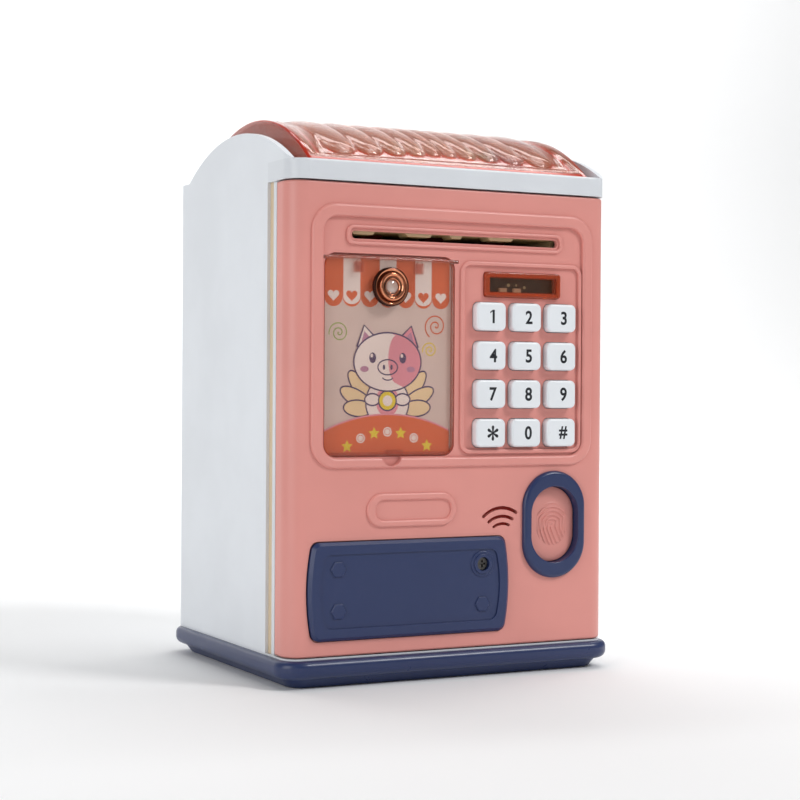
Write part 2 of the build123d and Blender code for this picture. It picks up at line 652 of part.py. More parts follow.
# ------------------------------------------------------------------ flaps on the door
def picture_cover():
    """Clear plate hung on two stubs at its top, with two hooks and a bottom snap."""
    left, right, low, high = WIN
    gap = 0.35
    plate = through(outline(left + gap, right - gap, low + gap, high - 0.7, WIN_R - gap), 0.6, 2.1)
    plate = fillet(plate.faces().sort_by(Axis.Y)[0].edges(), 0.35)
    plate += rod_x(left - 1.1, right + 1.1, COVER_HINGE_D, COVER_HINGE_Z, 0.85)
    for x in (-38.9, -14.9):
        plate += fillet(rod_y(-0.2, 0.8, x, 149.0, 1.2).faces().sort_by(Axis.Y)[0].edges(), 0.4)
    plate += block(-27.4, -21.4, 0.0, 0.8, low + 0.6, low + 2.2)
    return plate


def lens_ring():
    """Stepped ring: each step is lower and narrower than the one outside it."""
    x, z = LENS
    ring = rod_y(-1.0, 0.6, x, z, LENS_R)
    ring = fillet(ring.faces().sort_by(Axis.Y)[0].edges(), 0.5)
    ring += fillet(rod_y(-2.4, 0.6, x, z, 5.4).faces().sort_by(Axis.Y)[0].edges(), 0.5)
    ring -= rod_y(-3.0, -1.5, x, z, 4.3)
    return ring - rod_y(-3.0, -0.6, x, z, 3.2)


def lens_glass():
    x, z = LENS
    bowl = rod_y(-1.2, -0.6, x, z, 3.2)
    return bowl + (Pos(x, y_at(1.6), z) * Sphere(4.0) & rod_y(-2.4, -1.2, x, z, 3.0))


def battery_cover():
    cover = through(battery_outline(), -1.9, 0.8)
    cover = chamfer(cover.faces().sort_by(Axis.Y)[0].edges(), 1.1)
    skirt = outline(BAY_X0 + 1.7, BAY_X1 - 1.7, BAY_Z0 + 1.7, BAY_Z1 - 1.7, 1.2)
    skirt -= outline(BAY_X0 + 3.0, BAY_X1 - 3.0, BAY_Z0 + 3.0, BAY_Z1 - 3.0, 0.6)
    cover += through(skirt, 0.7, 2.2)
    cover -= through(battery_outline(-COVER_BORDER), -3, COVER_FIELD_D)
    for x, z in HEX_AT:
        boss = hexagon_y(COVER_FIELD_D - 0.6, COVER_FIELD_D + 0.1, x, z, 5.2)
        cover += chamfer(boss.faces().sort_by(Axis.Y)[0].edges(), 0.25)
    x, z = SCREW_AT
    for radius, rise in zip(SCREW_WELL, (0.4, 0.9)):
        collar = rod_y(COVER_FIELD_D - rise, COVER_FIELD_D + 0.1, x, z, radius)
        cover += fillet(collar.faces().sort_by(Axis.Y)[0].edges(), 0.35)
    cover -= rod_y(-3.0, SCREW_SEAT_D, x, z, SCREW_WELL[-1])
    return cover - rod_y(-3.0, 4.0, x, z, 1.6)


def battery_screw():
    x, z = SCREW_AT
    return screw_y(SCREW_SEAT_D - 1.2, 6.0, x, z, 2.2, 1.2, 1.4)


def battery_box():
    box = block(BAY_X0, BAY_X1, DOOR_WALL, BAY_D1, BAY_Z0, BAY_Z1)
    box -= block(BAY_X0 + 1.3, 6.9, DOOR_WALL, BAY_D1 - 1.4, BAY_Z0 + 1.3, BAY_Z1 - 1.3)
    box -= block(8.2, BAY_X1 - 1.3, DOOR_WALL, BAY_D1 - 1.4, BAY_Z0 + 1.3, BAY_Z1 - 1.3)
    x, z = SCREW_AT
    box += rod_y(3.0, BAY_D1 - 1.0, x, z, 2.6)
    return box - rod_y(2.0, 9.0, x, z, 1.6)


def battery_cells():
    cells = []
    for z, depth in CELL_ROWS:
        cell = rod_x(CELL_X0, CELL_X0 + CELL_L - 1.2, depth, z, CELL_R)
        cell = fillet(cell.edges().filter_by(GeomType.CIRCLE), 0.6)
        cells.append(cell + rod_x(CELL_X0 + CELL_L - 1.3, CELL_X0 + CELL_L, depth, z, 2.7))
    return group(cells)


def battery_contacts():
    """A coil at one end of each cell, as stacked rings on a plate, and a plate at the other."""
    contacts = []
    wire = 0.45
    pitch = 0.85
    for z, depth in CELL_ROWS:
        coil = block(BAY_X0 + 1.3, BAY_X0 + 1.7, depth - 3.5, depth + 3.5, z - 3.5, z + 3.5)
        turns = 4
        for turn in range(turns):
            x = BAY_X0 + 1.7 + 0.3 + pitch * turn
            coil += Pos(x, y_at(depth), z) * Rot(0, 90, 0) * Torus(3.4 - 0.25 * turn, wire)
        contacts.append(coil)
        x1 = CELL_X0 + CELL_L
        contacts.append(block(x1, x1 + 0.4, depth - 3.5, depth + 3.5, z - 3.5, z + 3.5))
    return group(contacts)


# ------------------------------------------------------------------ note feeder
def feed_guide():
    """Throat plates over and under the note, side cheeks with bearings, a gear stub."""
    low = SLOT_Z - SLOT_H / 2
    high = SLOT_Z + SLOT_H / 2
    guide = block(-44.0, 44.5, 2.6, 32.8, high, high + 1.2)
    guide += block(-44.0, 44.5, 2.6, 32.8, low - 1.2, low)
    guide += block(-45.5, -44.0, 7.0, 32.8, 150.0, 170.0)
    guide += block(44.0, 45.5, 7.0, 32.8, 138.0, 170.0)
    for x0, x1 in GUIDE_BLOCKS:
        teeth = make_face(Polyline((x0, high + 0.5), (x1, high + 0.5), (x1 - 1.6, high - 1.1),
                                   (x0 + 1.6, high - 1.1), close=True))
        guide += through(teeth, 2.6, 9.0)
    for x in ROLLER_XS:
        half = ROLLER_W / 2 + 0.8
        guide -= block(x - half, x + half, FEED_D - 5, FEED_D + 5, low - 3, high + 3)
    for z in (DRIVE_Z, NIP_ROLL_Z):
        guide -= rod_x(-46, 46, FEED_D, z, 1.0 + RUN_FIT)
    guide -= rod_x(43, 46, FEED_D, MOTOR_Z, 2.2)
    return guide + rod_x(45.0, GEAR_X1 + 0.4, FEED_D, IDLER_Z, 1.0)


def drive_shaft():
    return rod_x(-46.0, GEAR_X1 + 0.6, FEED_D, DRIVE_Z, 1.0)


def roller_tyres(z, radius):
    """Rubber sleeves on a feed shaft."""
    sleeves = []
    for x in ROLLER_XS:
        sleeve = rod_x(x - ROLLER_W / 2, x + ROLLER_W / 2, FEED_D, z, radius)
        sleeves.append(sleeve - rod_x(x - ROLLER_W, x + ROLLER_W, FEED_D, z, 1.0))
    return group(sleeves)


def nip_roller():
    shaft = rod_x(-46.0, 45.9, FEED_D, NIP_ROLL_Z, 1.0)
    for x in ROLLER_XS:
        shaft += rod_x(x - ROLLER_W / 2, x + ROLLER_W / 2, FEED_D, NIP_ROLL_Z, IDLER_R)
    return shaft


def drive_gear():
    gap_below = -90 + 180 / DRIVE_TEETH
    return gear(DRIVE_TEETH, GEAR_X0, GEAR_X1, FEED_D, DRIVE_Z, 1.0, gap_below)


def idler_gear():
    return gear(IDLER_TEETH, GEAR_X0, GEAR_X1, FEED_D, IDLER_Z, 1.0 + RUN_FIT, 90)


def motor_pinion():
    return gear(PINION_TEETH, GEAR_X0, GEAR_X1, FEED_D, MOTOR_Z, 0.9, 90) + \
        rod_x(44.2, GEAR_X1 + 0.4, FEED_D, MOTOR_Z, 0.95)


def feed_motor():
    can = rod_x(19.0, 44.0, FEED_D, MOTOR_Z, 7.6)
    can = fillet(can.edges().filter_by(GeomType.CIRCLE).sort_by(Axis.X)[0], 1.5)
    can &= block(10, 50, FEED_D - 8, FEED_D + 8, MOTOR_Z - 6.4, MOTOR_Z + 6.4)
    can += rod_x(17.0, 19.2, FEED_D, MOTOR_Z, 3.0)
    return can - rod_x(42.0, 44.1, FEED_D, MOTOR_Z, 2.0)


# ------------------------------------------------------------------ door lock
def lock_solenoid():
    middle = (BOLT_D0 + BOLT_D1) / 2
    frame = block(30.0, 51.0, middle - 6.5, middle + 6.5, BOLT_Z - 8, BOLT_Z + 8)
    frame -= block(31.5, 49.5, middle - 8, middle + 8, BOLT_Z - 6.6, BOLT_Z + 6.6)
    coil = block(33.5, 49.5, middle - 5.2, middle + 5.2, BOLT_Z - 6.6, BOLT_Z + 6.6)
    frame += fillet(coil.edges().filter_by(Axis.X), 1.6)
    bore_z = BOLT_H / 2 + 0.35
    return frame - block(35.0, 52.0, BOLT_D0 - 0.35, BOLT_D1 + 0.35, BOLT_Z - bore_z, BOLT_Z + bore_z)


def latch_bolt():
    bolt = block(36.5, BOLT_TIP, BOLT_D0, BOLT_D1, BOLT_Z - BOLT_H / 2, BOLT_Z + BOLT_H / 2)
    nose = bolt.edges().filter_by(Axis.Z).sort_by(Axis.X)[-2:].sort_by(Axis.Y)[0]
    return chamfer(nose, 1.6)


# ------------------------------------------------------------------ write every node
NODES = {
    "body_shell": body_shell,
    "front_frame": front_frame,
    "side_bands": side_bands,
    "hinge_pins": hinge_pins,
    "latch_keeper": latch_keeper,
    "base_tray": base_tray,
    "rubber_feet": rubber_feet,
    "base_screws": base_screws,
    "roof_cover": roof_cover,
    "roof_reflector": roof_reflector,
    "roof_light_board": roof_light_board,
    "roof_leds": roof_leds,
    "door_panel": door_panel,
    "door_back_cover": door_back_cover,
    "door_cover_screws": door_cover_screws,
    "keypad_mat": keypad_mat,
    "keypad_board": keypad_board,
    "display_window": display_window,
    "display_board": display_board,
    "display_leds": display_leds,
    "fingerprint_ring": fingerprint_ring,
    "fingerprint_pad": fingerprint_pad,
    "fingerprint_switch": fingerprint_switch,
    "speaker": speaker,
    "main_board": main_board,
    "board_parts": board_parts,
    "picture_card": picture_card,
    "scan_led": scan_led,
    "picture_cover": picture_cover,
    "lens_ring": lens_ring,
    "lens_glass": lens_glass,
    "battery_cover": battery_cover,
    "battery_screw": battery_screw,
    "battery_box": battery_box,
    "battery_cells": battery_cells,
    "battery_contacts": battery_contacts,
    "feed_guide": feed_guide,
    "drive_shaft": drive_shaft,
    "nip_roller": nip_roller,
    "drive_gear": drive_gear,
    "idler_gear": idler_gear,
    "motor_pinion": motor_pinion,
    "feed_motor": feed_motor,
    "lock_solenoid": lock_solenoid,
    "latch_bolt": latch_bolt,
}

for node_name, make_node in NODES.items():
    write(node_name, make_node())
write("drive_tyres", roller_tyres(DRIVE_Z, DRIVE_R))
for key_name, (key_x, key_z) in zip(KEY_NAMES, key_places()):
    write(f"key_{key_name}", key(key_x, key_z))
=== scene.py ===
import math

import bmesh
import bpy
from mathutils import Matrix, Vector


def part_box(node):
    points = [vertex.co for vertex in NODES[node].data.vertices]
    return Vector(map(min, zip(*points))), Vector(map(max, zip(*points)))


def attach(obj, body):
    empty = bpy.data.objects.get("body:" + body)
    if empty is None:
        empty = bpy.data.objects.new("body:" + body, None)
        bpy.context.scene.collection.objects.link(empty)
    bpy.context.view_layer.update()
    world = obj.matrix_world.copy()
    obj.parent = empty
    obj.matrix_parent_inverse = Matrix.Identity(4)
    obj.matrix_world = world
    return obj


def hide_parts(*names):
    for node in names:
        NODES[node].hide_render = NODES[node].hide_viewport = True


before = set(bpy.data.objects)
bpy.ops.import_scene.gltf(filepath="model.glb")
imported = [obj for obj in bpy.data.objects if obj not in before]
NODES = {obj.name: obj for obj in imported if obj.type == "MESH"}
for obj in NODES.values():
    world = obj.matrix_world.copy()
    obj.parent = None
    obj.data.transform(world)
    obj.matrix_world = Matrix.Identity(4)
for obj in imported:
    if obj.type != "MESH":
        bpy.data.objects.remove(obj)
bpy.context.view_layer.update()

bl_info = {
    "name": "Toy Cash Machine Bank",
    "version": (1, 0, 0),
    "blender": (4, 5, 0),
    "location": "3D View > Sidebar > Cash Bank",
    "description": "Finishes the toy cash machine savings bank round its fixed frame",
    "category": "Object",
}

MM = 0.001
KEYS = ("1", "2", "3", "4", "5", "6", "7", "8", "9", "star", "0", "hash")
KEY_MARKS = {"star": ("*", 1.75), "hash": ("#", 0.95)}   # mark, and its size beside a figure's


# ------------------------- places taken from the frame
def middle(node):
    """The centre of a CAD node's box."""
    low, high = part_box(node)
    return (low + high) / 2


CARD_LOW, CARD_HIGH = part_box("picture_card")
LENS_AT = middle("lens_ring")
PAD_LOW, PAD_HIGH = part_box("fingerprint_pad")
ROOF_LOW, ROOF_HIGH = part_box("roof_cover")
SHELL_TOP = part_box("body_shell")[1].z


# ------------------------- shader maths
class Value:
    """A socket of one material, so that plain expressions add its Math nodes."""

    def __init__(self, net, socket):
        self.net = net
        self.socket = socket

    def _math(self, operation, *others):
        inputs = dict(enumerate((self,) + others))
        return self.net.node("ShaderNodeMath", {"operation": operation}, inputs)

    def __add__(self, other):
        return self._math("ADD", other)

    def __sub__(self, other):
        return self._math("SUBTRACT", other)

    def __mul__(self, other):
        return self._math("MULTIPLY", other)

    def __truediv__(self, other):
        return self._math("DIVIDE", other)

    def __rsub__(self, other):
        return self.net.node("ShaderNodeMath", {"operation": "SUBTRACT"}, {0: other, 1: self})

    __radd__ = __add__
    __rmul__ = __mul__

    def power(self, exponent):
        return self._math("POWER", exponent)

    def size(self):
        return self._math("ABSOLUTE")

    def least(self, other):
        return self._math("MINIMUM", other)

    def most(self, other):
        return self._math("MAXIMUM", other)

    def between(self, low, high):
        """0 below low, 1 above high, smooth between. High may be the lower one."""
        settings = {"interpolation_type": "SMOOTHSTEP"}
        inputs = {"Value": self, "From Min": low, "From Max": high}
        return self.net.node("ShaderNodeMapRange", settings, inputs)


class Finish:
    """One procedural material, built round its Principled shader."""

    def __init__(self, name, **uniform):
        self.material = bpy.data.materials.new(name)
        self.material.use_nodes = True
        self.tree = self.material.node_tree
        self.shader = self.tree.nodes["Principled BSDF"]
        for socket, value in uniform.items():
            self.shader.inputs[socket.replace("_", " ")].default_value = value

    def node(self, kind, settings=None, inputs=None, output=0):
        """Adds a node, sets it, fills its sockets and returns one of its outputs."""
        made = self.tree.nodes.new(kind)
        for key, value in (settings or {}).items():
            if key == "stops":
                self.ramp_stops(made.color_ramp, value)
            else:
                setattr(made, key, value)
        for key, value in (inputs or {}).items():
            self.plug(made.inputs[key], value)
        return Value(self, made.outputs[output])

    @staticmethod
    def ramp_stops(ramp, stops):
        while len(ramp.elements) < len(stops):
            ramp.elements.new(0.5)
        for element, (place, colour) in zip(ramp.elements, stops):
            element.position = place
            element.color = colour

    def plug(self, socket, value):
        if isinstance(value, Value):
            self.tree.links.new(value.socket, socket)
        else:
            socket.default_value = value

    def place(self):
        """Where a point lies on the object, in metres, in its rest frame."""
        return self.node("ShaderNodeTexCoord", output="Object")

    def axes(self, vector):
        """The three parts of a vector."""
        split = self.node("ShaderNodeSeparateXYZ", None, {0: vector}).socket.node
        return [Value(self, out) for out in split.outputs]

    def noise(self, scale, detail=3.0, rough=0.55, vector=None):
        inputs = {"Vector": vector or self.place(),
                  "Scale": scale, "Detail": detail, "Roughness": rough}
        return self.node("ShaderNodeTexNoise", None, inputs)

    def mix(self, mask, low, high):
        """Colour low where the mask is 0, high where it is 1."""
        made = self.node("ShaderNodeMix", {"data_type": "RGBA"}, {0: mask}).socket.node
        self.plug(made.inputs[6], low)
        self.plug(made.inputs[7], high)
        return Value(self, made.outputs[2])

    def worn_edges(self, radius):
        """1 on sharp convex and concave edges, 0 on flats."""
        soft = self.node("ShaderNodeBevel", {"samples": 4}, {"Radius": radius})
        plain = self.node("ShaderNodeNewGeometry", output="Normal")
        dot = self.node("ShaderNodeVectorMath", {"operation": "DOT_PRODUCT"},
                        {0: soft, 1: plain}, output="Value")
        return (1 - dot).between(0.01, 0.22)

    def crevices(self, distance):
        """1 deep in a seam or corner, 0 in the open: the mask for painted shade."""
        settings = {"samples": 6, "only_local": False}
        open_air = self.node("ShaderNodeAmbientOcclusion", settings,
                             {"Distance": distance}, output="AO")
        return (1 - open_air).between(0.15, 0.9)

    def bump(self, height, strength, distance):
        inputs = {"Height": height, "Strength": strength, "Distance": distance}
        self.out("Normal", self.node("ShaderNodeBump", None, inputs))

    def out(self, socket, value):
        self.plug(self.shader.inputs[socket], value)


def shade(colour, factor):
    """A colour made lighter or darker."""
    return tuple(min(1.0, part * factor) for part in colour[:3]) + (1.0,)


def linear(red, green, blue):
    """An 8-bit display colour as the shader's own linear colour."""
    def part(value):
        value /= 255
        return value / 12.92 if value <= 0.04045 else ((value + 0.055) / 1.055) ** 2.4
    return (part(red), part(green), part(blue), 1.0)


# ------------------------- finishes
def moulded_plastic(name, colour, roughness, grain=0.18, wear=0.25, seam_shade=0.35):
    """Injection-moulded shell plastic: soft mottling, fine grain, rubbed edges, and painted shade
    darkening its seams and corners.
    """
    skin = Finish(name, IOR=1.5, Specular_IOR_Level=0.5)
    cloud = skin.noise(26.0, 3.0)
    fine = skin.noise(1500.0, 2.0)
    swirl = skin.noise(90.0, 4.0, 0.65)
    base = skin.mix(cloud.between(0.25, 0.75), shade(colour, 0.965), shade(colour, 1.03))
    base = skin.mix(skin.worn_edges(0.45 * MM) * wear, base, shade(colour, 1.3))
    # painted shade: ambient occlusion darkens the colour in seams, corners and recesses
    base = skin.mix(skin.crevices(3.0 * MM) * seam_shade, base, shade(colour, 0.5))
    skin.out("Base Color", base)
    skin.out("Roughness", roughness + (swirl - 0.5) * 0.12 + (fine - 0.5) * 0.05)
    skin.bump(fine + swirl * 0.8, grain, 0.06 * MM)
    return skin.material


def tinted_clear(name, colour, edge_colour, edge_mask, opacity):
    """Clear coloured plastic with painted edge light: a deeper colour on the faces and rims that
    the edge mask picks, where the plastic carries light edge-on.
    """
    skin = Finish(name, IOR=1.49, Transmission_Weight=0.55, Specular_IOR_Level=0.6)
    edge = edge_mask(skin)
    specks = skin.noise(420.0, 2.0)
    flow = skin.noise(34.0, 3.0)
    # painted edge light: the edge colour stands in for light carried through the plastic's
    # thickness
    base = skin.mix(edge, colour, edge_colour)
    base = skin.mix(flow.between(0.2, 0.8) * 0.12, base, shade(colour, 0.8))
    skin.out("Base Color", base)
    skin.out("Roughness", 0.06 + flow * 0.05 + specks * 0.02)
    skin.out("Alpha", (opacity + edge * (1 - opacity) * 0.75 + (flow - 0.5) * 0.05).least(0.97))
    skin.bump(flow, 0.12, 0.2 * MM)
    return skin.material


def side_faces(skin):
    """1 on faces that don't look to the front or back."""
    normal = skin.node("ShaderNodeTexCoord", output="Normal")
    facing = skin.axes(normal)[1].size()
    return facing.between(0.92, 0.45)


def rim(skin, node, width):
    """1 near the left, right, top and bottom of a flat node, 0 over its middle."""
    low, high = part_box(node)
    x, _, z = skin.axes(skin.place())
    masks = []
    for along, start, end in ((x, low.x, high.x), (z, low.z, high.z)):
        half = (end - start) / 2
        off_middle = (along - (start + end) / 2).size()
        masks.append(off_middle.between(half - width * 1.2, half - width * 0.8))
    return masks[0].most(masks[1])


def metal(name, colour, roughness, stretch=(1.0, 1.0, 1.0)):
    """Plated or plain metal with fine directional scratches and dull spots."""
    skin = Finish(name, Metallic=1.0)
    stretched = skin.node("ShaderNodeVectorMath", {"operation": "MULTIPLY"},
                          {0: skin.place(), 1: stretch})
    lines = skin.noise(900.0, 3.0, 0.6, stretched)
    spots = skin.noise(180.0, 3.0)
    skin.out("Base Color", skin.mix(spots.between(0.35, 0.75),
                                    shade(colour, 0.82), shade(colour, 1.06)))
    skin.out("Roughness", roughness + lines * 0.12 + spots.between(0.5, 0.8) * 0.08)
    skin.bump(lines, 0.15, 0.03 * MM)
    return skin.material


def rubber(name, colour):
    """Dull moulded rubber with a powdery bloom."""
    skin = Finish(name, IOR=1.45)
    bloom = skin.noise(120.0, 4.0, 0.65)
    fine = skin.noise(1800.0, 2.0)
    skin.out("Base Color", skin.mix(bloom.between(0.35, 0.75), colour, shade(colour, 1.5)))
    skin.out("Roughness", 0.72 + fine * 0.18)
    skin.bump(fine, 0.4, 0.08 * MM)
    return skin.material


def circuit(name, colour):
    """Solder mask over copper tracks, with pads in a loose grid."""
    skin = Finish(name, IOR=1.5, Coat_Weight=0.3)
    cells = {"Vector": skin.place(), "Scale": 260.0, "Randomness": 0.35}
    spot = skin.node("ShaderNodeTexVoronoi", None, cells)
    tracks = skin.node("ShaderNodeTexVoronoi", {"distance": "MANHATTAN", "feature": "F1"},
                       {"Vector": skin.place(), "Scale": 90.0, "Randomness": 0.9})
    lines = (tracks - 0.42).size().between(0.03, 0.01)
    pads = spot.between(0.2, 0.16)
    base = skin.mix(lines * 0.6, colour, shade(colour, 1.9))
    skin.out("Base Color", skin.mix(pads, base, linear(206, 196, 150)))
    skin.out("Metallic", pads * 0.8)
    skin.out("Roughness", 0.42 - pads * 0.12)
    skin.bump(lines + pads, 0.3, 0.05 * MM)
    return skin.material


def ink(name, colour, roughness=0.4):
    """Printed ink: slight mottling and a soft sheen that varies with the paper."""
    skin = Finish(name, IOR=1.48)
    fibre = skin.noise(700.0, 3.0, 0.6)
    wash = skin.noise(60.0, 2.0)
    skin.out("Base Color", skin.mix(wash.between(0.3, 0.7),
                                    shade(colour, 0.96), shade(colour, 1.03)))
    skin.out("Roughness", roughness + (fibre - 0.5) * 0.12)
    skin.bump(fibre, 0.05, 0.02 * MM)
    return skin.material


def lamp_glass(name, half_row):
    """Clear lamps in a row along x, each cast in its own colour."""
    skin = Finish(name, IOR=1.5, Transmission_Weight=0.3)
    across = skin.axes(skin.place())[0]
    stops = ((0.12, linear(132, 78, 176)), (0.38, linear(238, 190, 60)),
             (0.62, linear(90, 176, 84)), (0.88, linear(84, 104, 214)))
    tint = skin.node("ShaderNodeValToRGB", {"stops": stops}, {0: across / (2 * half_row) + 0.5})
    haze = skin.noise(300.0, 2.0)
    skin.out("Base Color", tint)
    skin.out("Roughness", 0.12 + haze * 0.1)
    return skin.material


# ------------------------- mesh helpers
def add_object(name, data):
    made = bpy.data.objects.new(name, data)
    bpy.context.scene.collection.objects.link(made)
    return made


def add_mesh(name, source, materials, smooth=True):
    """Turns a bmesh into an object."""
    mesh = bpy.data.meshes.new(name)
    source.to_mesh(mesh)
    source.free()
    for item in materials:
        mesh.materials.append(item)
    for polygon in mesh.polygons:
        polygon.use_smooth = smooth
    return add_object(name, mesh)


def add_piece(name, source, body, materials, replaces=(), smooth=True):
    """Turns a bmesh into a piece that rides on a body."""
    bmesh.ops.recalc_face_normals(source, faces=source.faces[:])
    piece = add_mesh(name, source, materials, smooth)
    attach(piece, body)
    if replaces:
        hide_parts(*replaces)
    return piece


def modifier(piece, kind, **settings):
    made = piece.modifiers.new(kind.title(), kind)
    for key, value in settings.items():
        setattr(made, key, value)


def join_lines(made, lines, steps):
    """Faces between neighbouring lines of vertices. A line of one vertex is a tip."""
    for first, second in zip(lines[:-1], lines[1:]):
        for step in range(steps):
            corners = [first[step % len(first)], first[(step + 1) % len(first)],
                       second[(step + 1) % len(second)], second[step % len(second)]]
            unique = list(dict.fromkeys(corners))
            if len(unique) > 2:
                made.faces.new(unique)


def lathe(profile, centre, segments):
    """Turns (radius, depth) points about an axis along Y. Depth grows to the back."""
    made = bmesh.new()
    rings = []
    for radius, depth in profile:
        ring = []
        for step in range(segments if radius > 0 else 1):
            angle = 2 * math.pi * step / segments
            offset = Vector((radius * math.cos(angle), depth, radius * math.sin(angle))) * MM
            ring.append(made.verts.new(centre + offset))
        rings.append(ring)
    join_lines(made, rings, segments)
    return made


def smooth_step(value, low, high):
    """0 below low, 1 above high, smooth between."""
    share = max(0.0, min(1.0, (value - low) / (high - low)))
    return share * share * (3 - 2 * share)


def dress(material, *nodes):
    """Gives CAD nodes a finish."""
    for node in nodes:
        piece = NODES[node]
        piece.data.materials.clear()
        piece.data.materials.append(material)


# ------------------------- sizes and colours
def colour_property(name, description, red, green, blue):
    return bpy.props.FloatVectorProperty(
        name=name, description=description, subtype="COLOR", size=4, min=0.0, max=1.0,
        default=linear(red, green, blue))


def length_property(name, description, millimetres):
    return bpy.props.FloatProperty(
        name=name, description=description, default=millimetres * MM, min=0.0,
        unit="LENGTH", precision=5)


class BankColours(bpy.types.PropertyGroup):
    """Colours of the mouldings and the print"""
    coral: colour_property("Door", "Door and finger pad", 226, 150, 141)
    white: colour_property("Shell", "Shell and ledge", 229, 233, 238)
    navy: colour_property("Trim", "Base, ring and battery cover", 38, 52, 94)
    keys: colour_property("Keys", "Key caps", 236, 240, 244)
    cream: colour_property("Module", "Door back cover and note guide", 222, 204, 160)
    roof: colour_property("Roof", "Middle of the clear roof", 208, 128, 98)
    roof_rim: colour_property("Roof rim", "Edges of the clear roof", 226, 56, 20)
    copper: colour_property("Lens ring", "Plated ring round the lens", 226, 148, 112)
    orange: colour_property("Orange ink", "Awning and hill", 214, 92, 40)
    paper: colour_property("Card", "Card ground", 214, 196, 188)
    pale: colour_property("White ink", "Stripes and figure", 236, 226, 220)
    outline: colour_property("Outline ink", "Line drawing", 52, 48, 98)
    pink: colour_property("Pink ink", "Figure's pink", 222, 142, 158)
    mauve: colour_property("Mauve ink", "Figure's mauve", 178, 128, 158)
    green: colour_property("Green ink", "Swirl", 148, 178, 96)
    yellow: colour_property("Yellow ink", "Stars", 226, 204, 40)
    feather: colour_property("Cream ink", "Wings", 232, 208, 164)


class BankSizes(bpy.types.PropertyGroup):
    """Sizes of the pieces that are shaped here"""
    flute_rise: length_property("Flute rise", "How far a flute's crest stands over the roof", 0.8)
    flute_sink: length_property("Flute sink", "How deep the valleys between flutes are", 0.9)
    flute_count: bpy.props.IntProperty(
        name="Flutes", description="Flutes across the roof", default=10, min=2, max=24)
    roof_thickness: length_property("Roof thickness", "Wall of the clear roof", 1.6)
    digit_height: length_property("Digit height", "Height of the figures on the keys", 4.9)
    digit_shift: length_property("Digit shift", "How far right of its key's middle", 0.7)
    stroke: length_property("Outline", "Width of the drawn outline", 0.55)
    ridge_height: length_property("Ridge height", "Height of the fingerprint's ridges", 0.45)
    ridge_pitch: length_property("Ridge pitch", "Distance between fingerprint ridges", 1.55)


def sizes():
    return bpy.context.scene.bank_sizes


def rgba(name):
    """One of the scene's colours as a plain tuple."""
    return tuple(getattr(bpy.context.scene.bank_colours, name))


# ------------------------- housing
class BANK_OT_housing(bpy.types.Operator):
    """Finish the shell, the front frame, the base and its feet"""
    bl_idname = "bank.housing"
    bl_label = "Housing"

    def execute(self, context):
        white = rgba("white")
        dress(moulded_plastic("shell_white", white, 0.34, grain=0.1, wear=0.2), "body_shell")
        dress(moulded_plastic("frame_white", shade(white, 0.93), 0.32, grain=0.1, wear=0.3),
              "front_frame")
        # painted shade: the side bands' cream colour stands in for warm shade in the groove
        # between shell and frame
        dress(moulded_plastic("band_cream", linear(222, 200, 168), 0.45), "side_bands")
        dress(moulded_plastic("base_navy", rgba("navy"), 0.3, grain=0.14, wear=0.5), "base_tray")
        dress(rubber("foot_rubber", linear(84, 86, 90)), "rubber_feet")
        dress(metal("screw_steel", linear(176, 178, 182), 0.26),
              "base_screws", "hinge_pins", "latch_keeper")
        return {"FINISHED"}


# ------------------------- lighted roof
LINE_MASK = "moulded_lines"                 # vertex attribute: 1 on moulded lines and rims
ROOF_DECK = SHELL_TOP - 13.3 * MM           # height of the roof's front and back edges
ROOF_PEAK = SHELL_TOP + 6.2 * MM            # height of the smooth arc that the flutes stand on
ROOF_HALF_X = (ROOF_HIGH.x - ROOF_LOW.x) / 2
ROOF_HALF_Y = (ROOF_HIGH.y - ROOF_LOW.y) / 2
ROOF_MIDDLE_Y = (ROOF_HIGH.y + ROOF_LOW.y) / 2
ROOF_RADIUS = (ROOF_HALF_Y ** 2 + (ROOF_PEAK - ROOF_DECK) ** 2) / (2 * (ROOF_PEAK - ROOF_DECK))
ROOF_AXIS = ROOF_PEAK - ROOF_RADIUS         # height of the arc's centre
ROOF_SWEEP = math.asin(ROOF_HALF_Y / ROOF_RADIUS)
ROOF_CORNER = 0.7 * MM                      # round where the top meets the end walls
FLUTE_FIELD = ROOF_HALF_X - 10.0 * MM       # half the width that the flutes take
FLUTE_BORDER = 12.5 * MM                    # along the arc, from the edge to the flutes' ends
BEAD_INSET = 4.8 * MM                       # the line moulded round the flutes
ARC_ROWS = 150
FLUTE_STEPS = 260
BORDER_STEPS = 6


def flute_edges(count):
    """Flute borders across the roof, closer together in the middle like a shell's ribs."""
    shares = [2 * step / count - 1 for step in range(count + 1)]
    return [FLUTE_FIELD * (0.62 * share + 0.38 * share * abs(share)) for share in shares]


def flute_height(across, end_gap, edges):
    """0 in a valley, 1 on a crest, with round ends like finger tips."""
    for low, high in zip(edges[:-1], edges[1:]):
        if low <= across <= high:
            half = (high - low) / 2
            side = (across - (low + high) / 2) / half
            tip = min(0.0, end_gap / half)
            return max(0.0, 1 - side * side - tip * tip) ** 0.5
    return 0.0


def line_mark(x, arc_left, inset, crest):
    """How strongly the rims, the bead and the folds between flutes are drawn, 0 to 1."""
    fold = smooth_step(crest, 0.3, 0.0)
    fold *= smooth_step(FLUTE_FIELD - abs(x), -0.5 * MM, 0.5 * MM)
    fold *= smooth_step(arc_left, FLUTE_BORDER - 6.5 * MM, FLUTE_BORDER - 5.0 * MM)
    bead = smooth_step(abs(inset - BEAD_INSET), 0.9 * MM, 0.5 * MM)
    edge_rim = smooth_step(arc_left, 2.7 * MM, 2.0 * MM)
    end_rim = smooth_step(ROOF_HALF_X - abs(x), 2.2 * MM, 1.5 * MM)
    return max(bead * 0.9, fold * 0.7, edge_rim, end_rim)


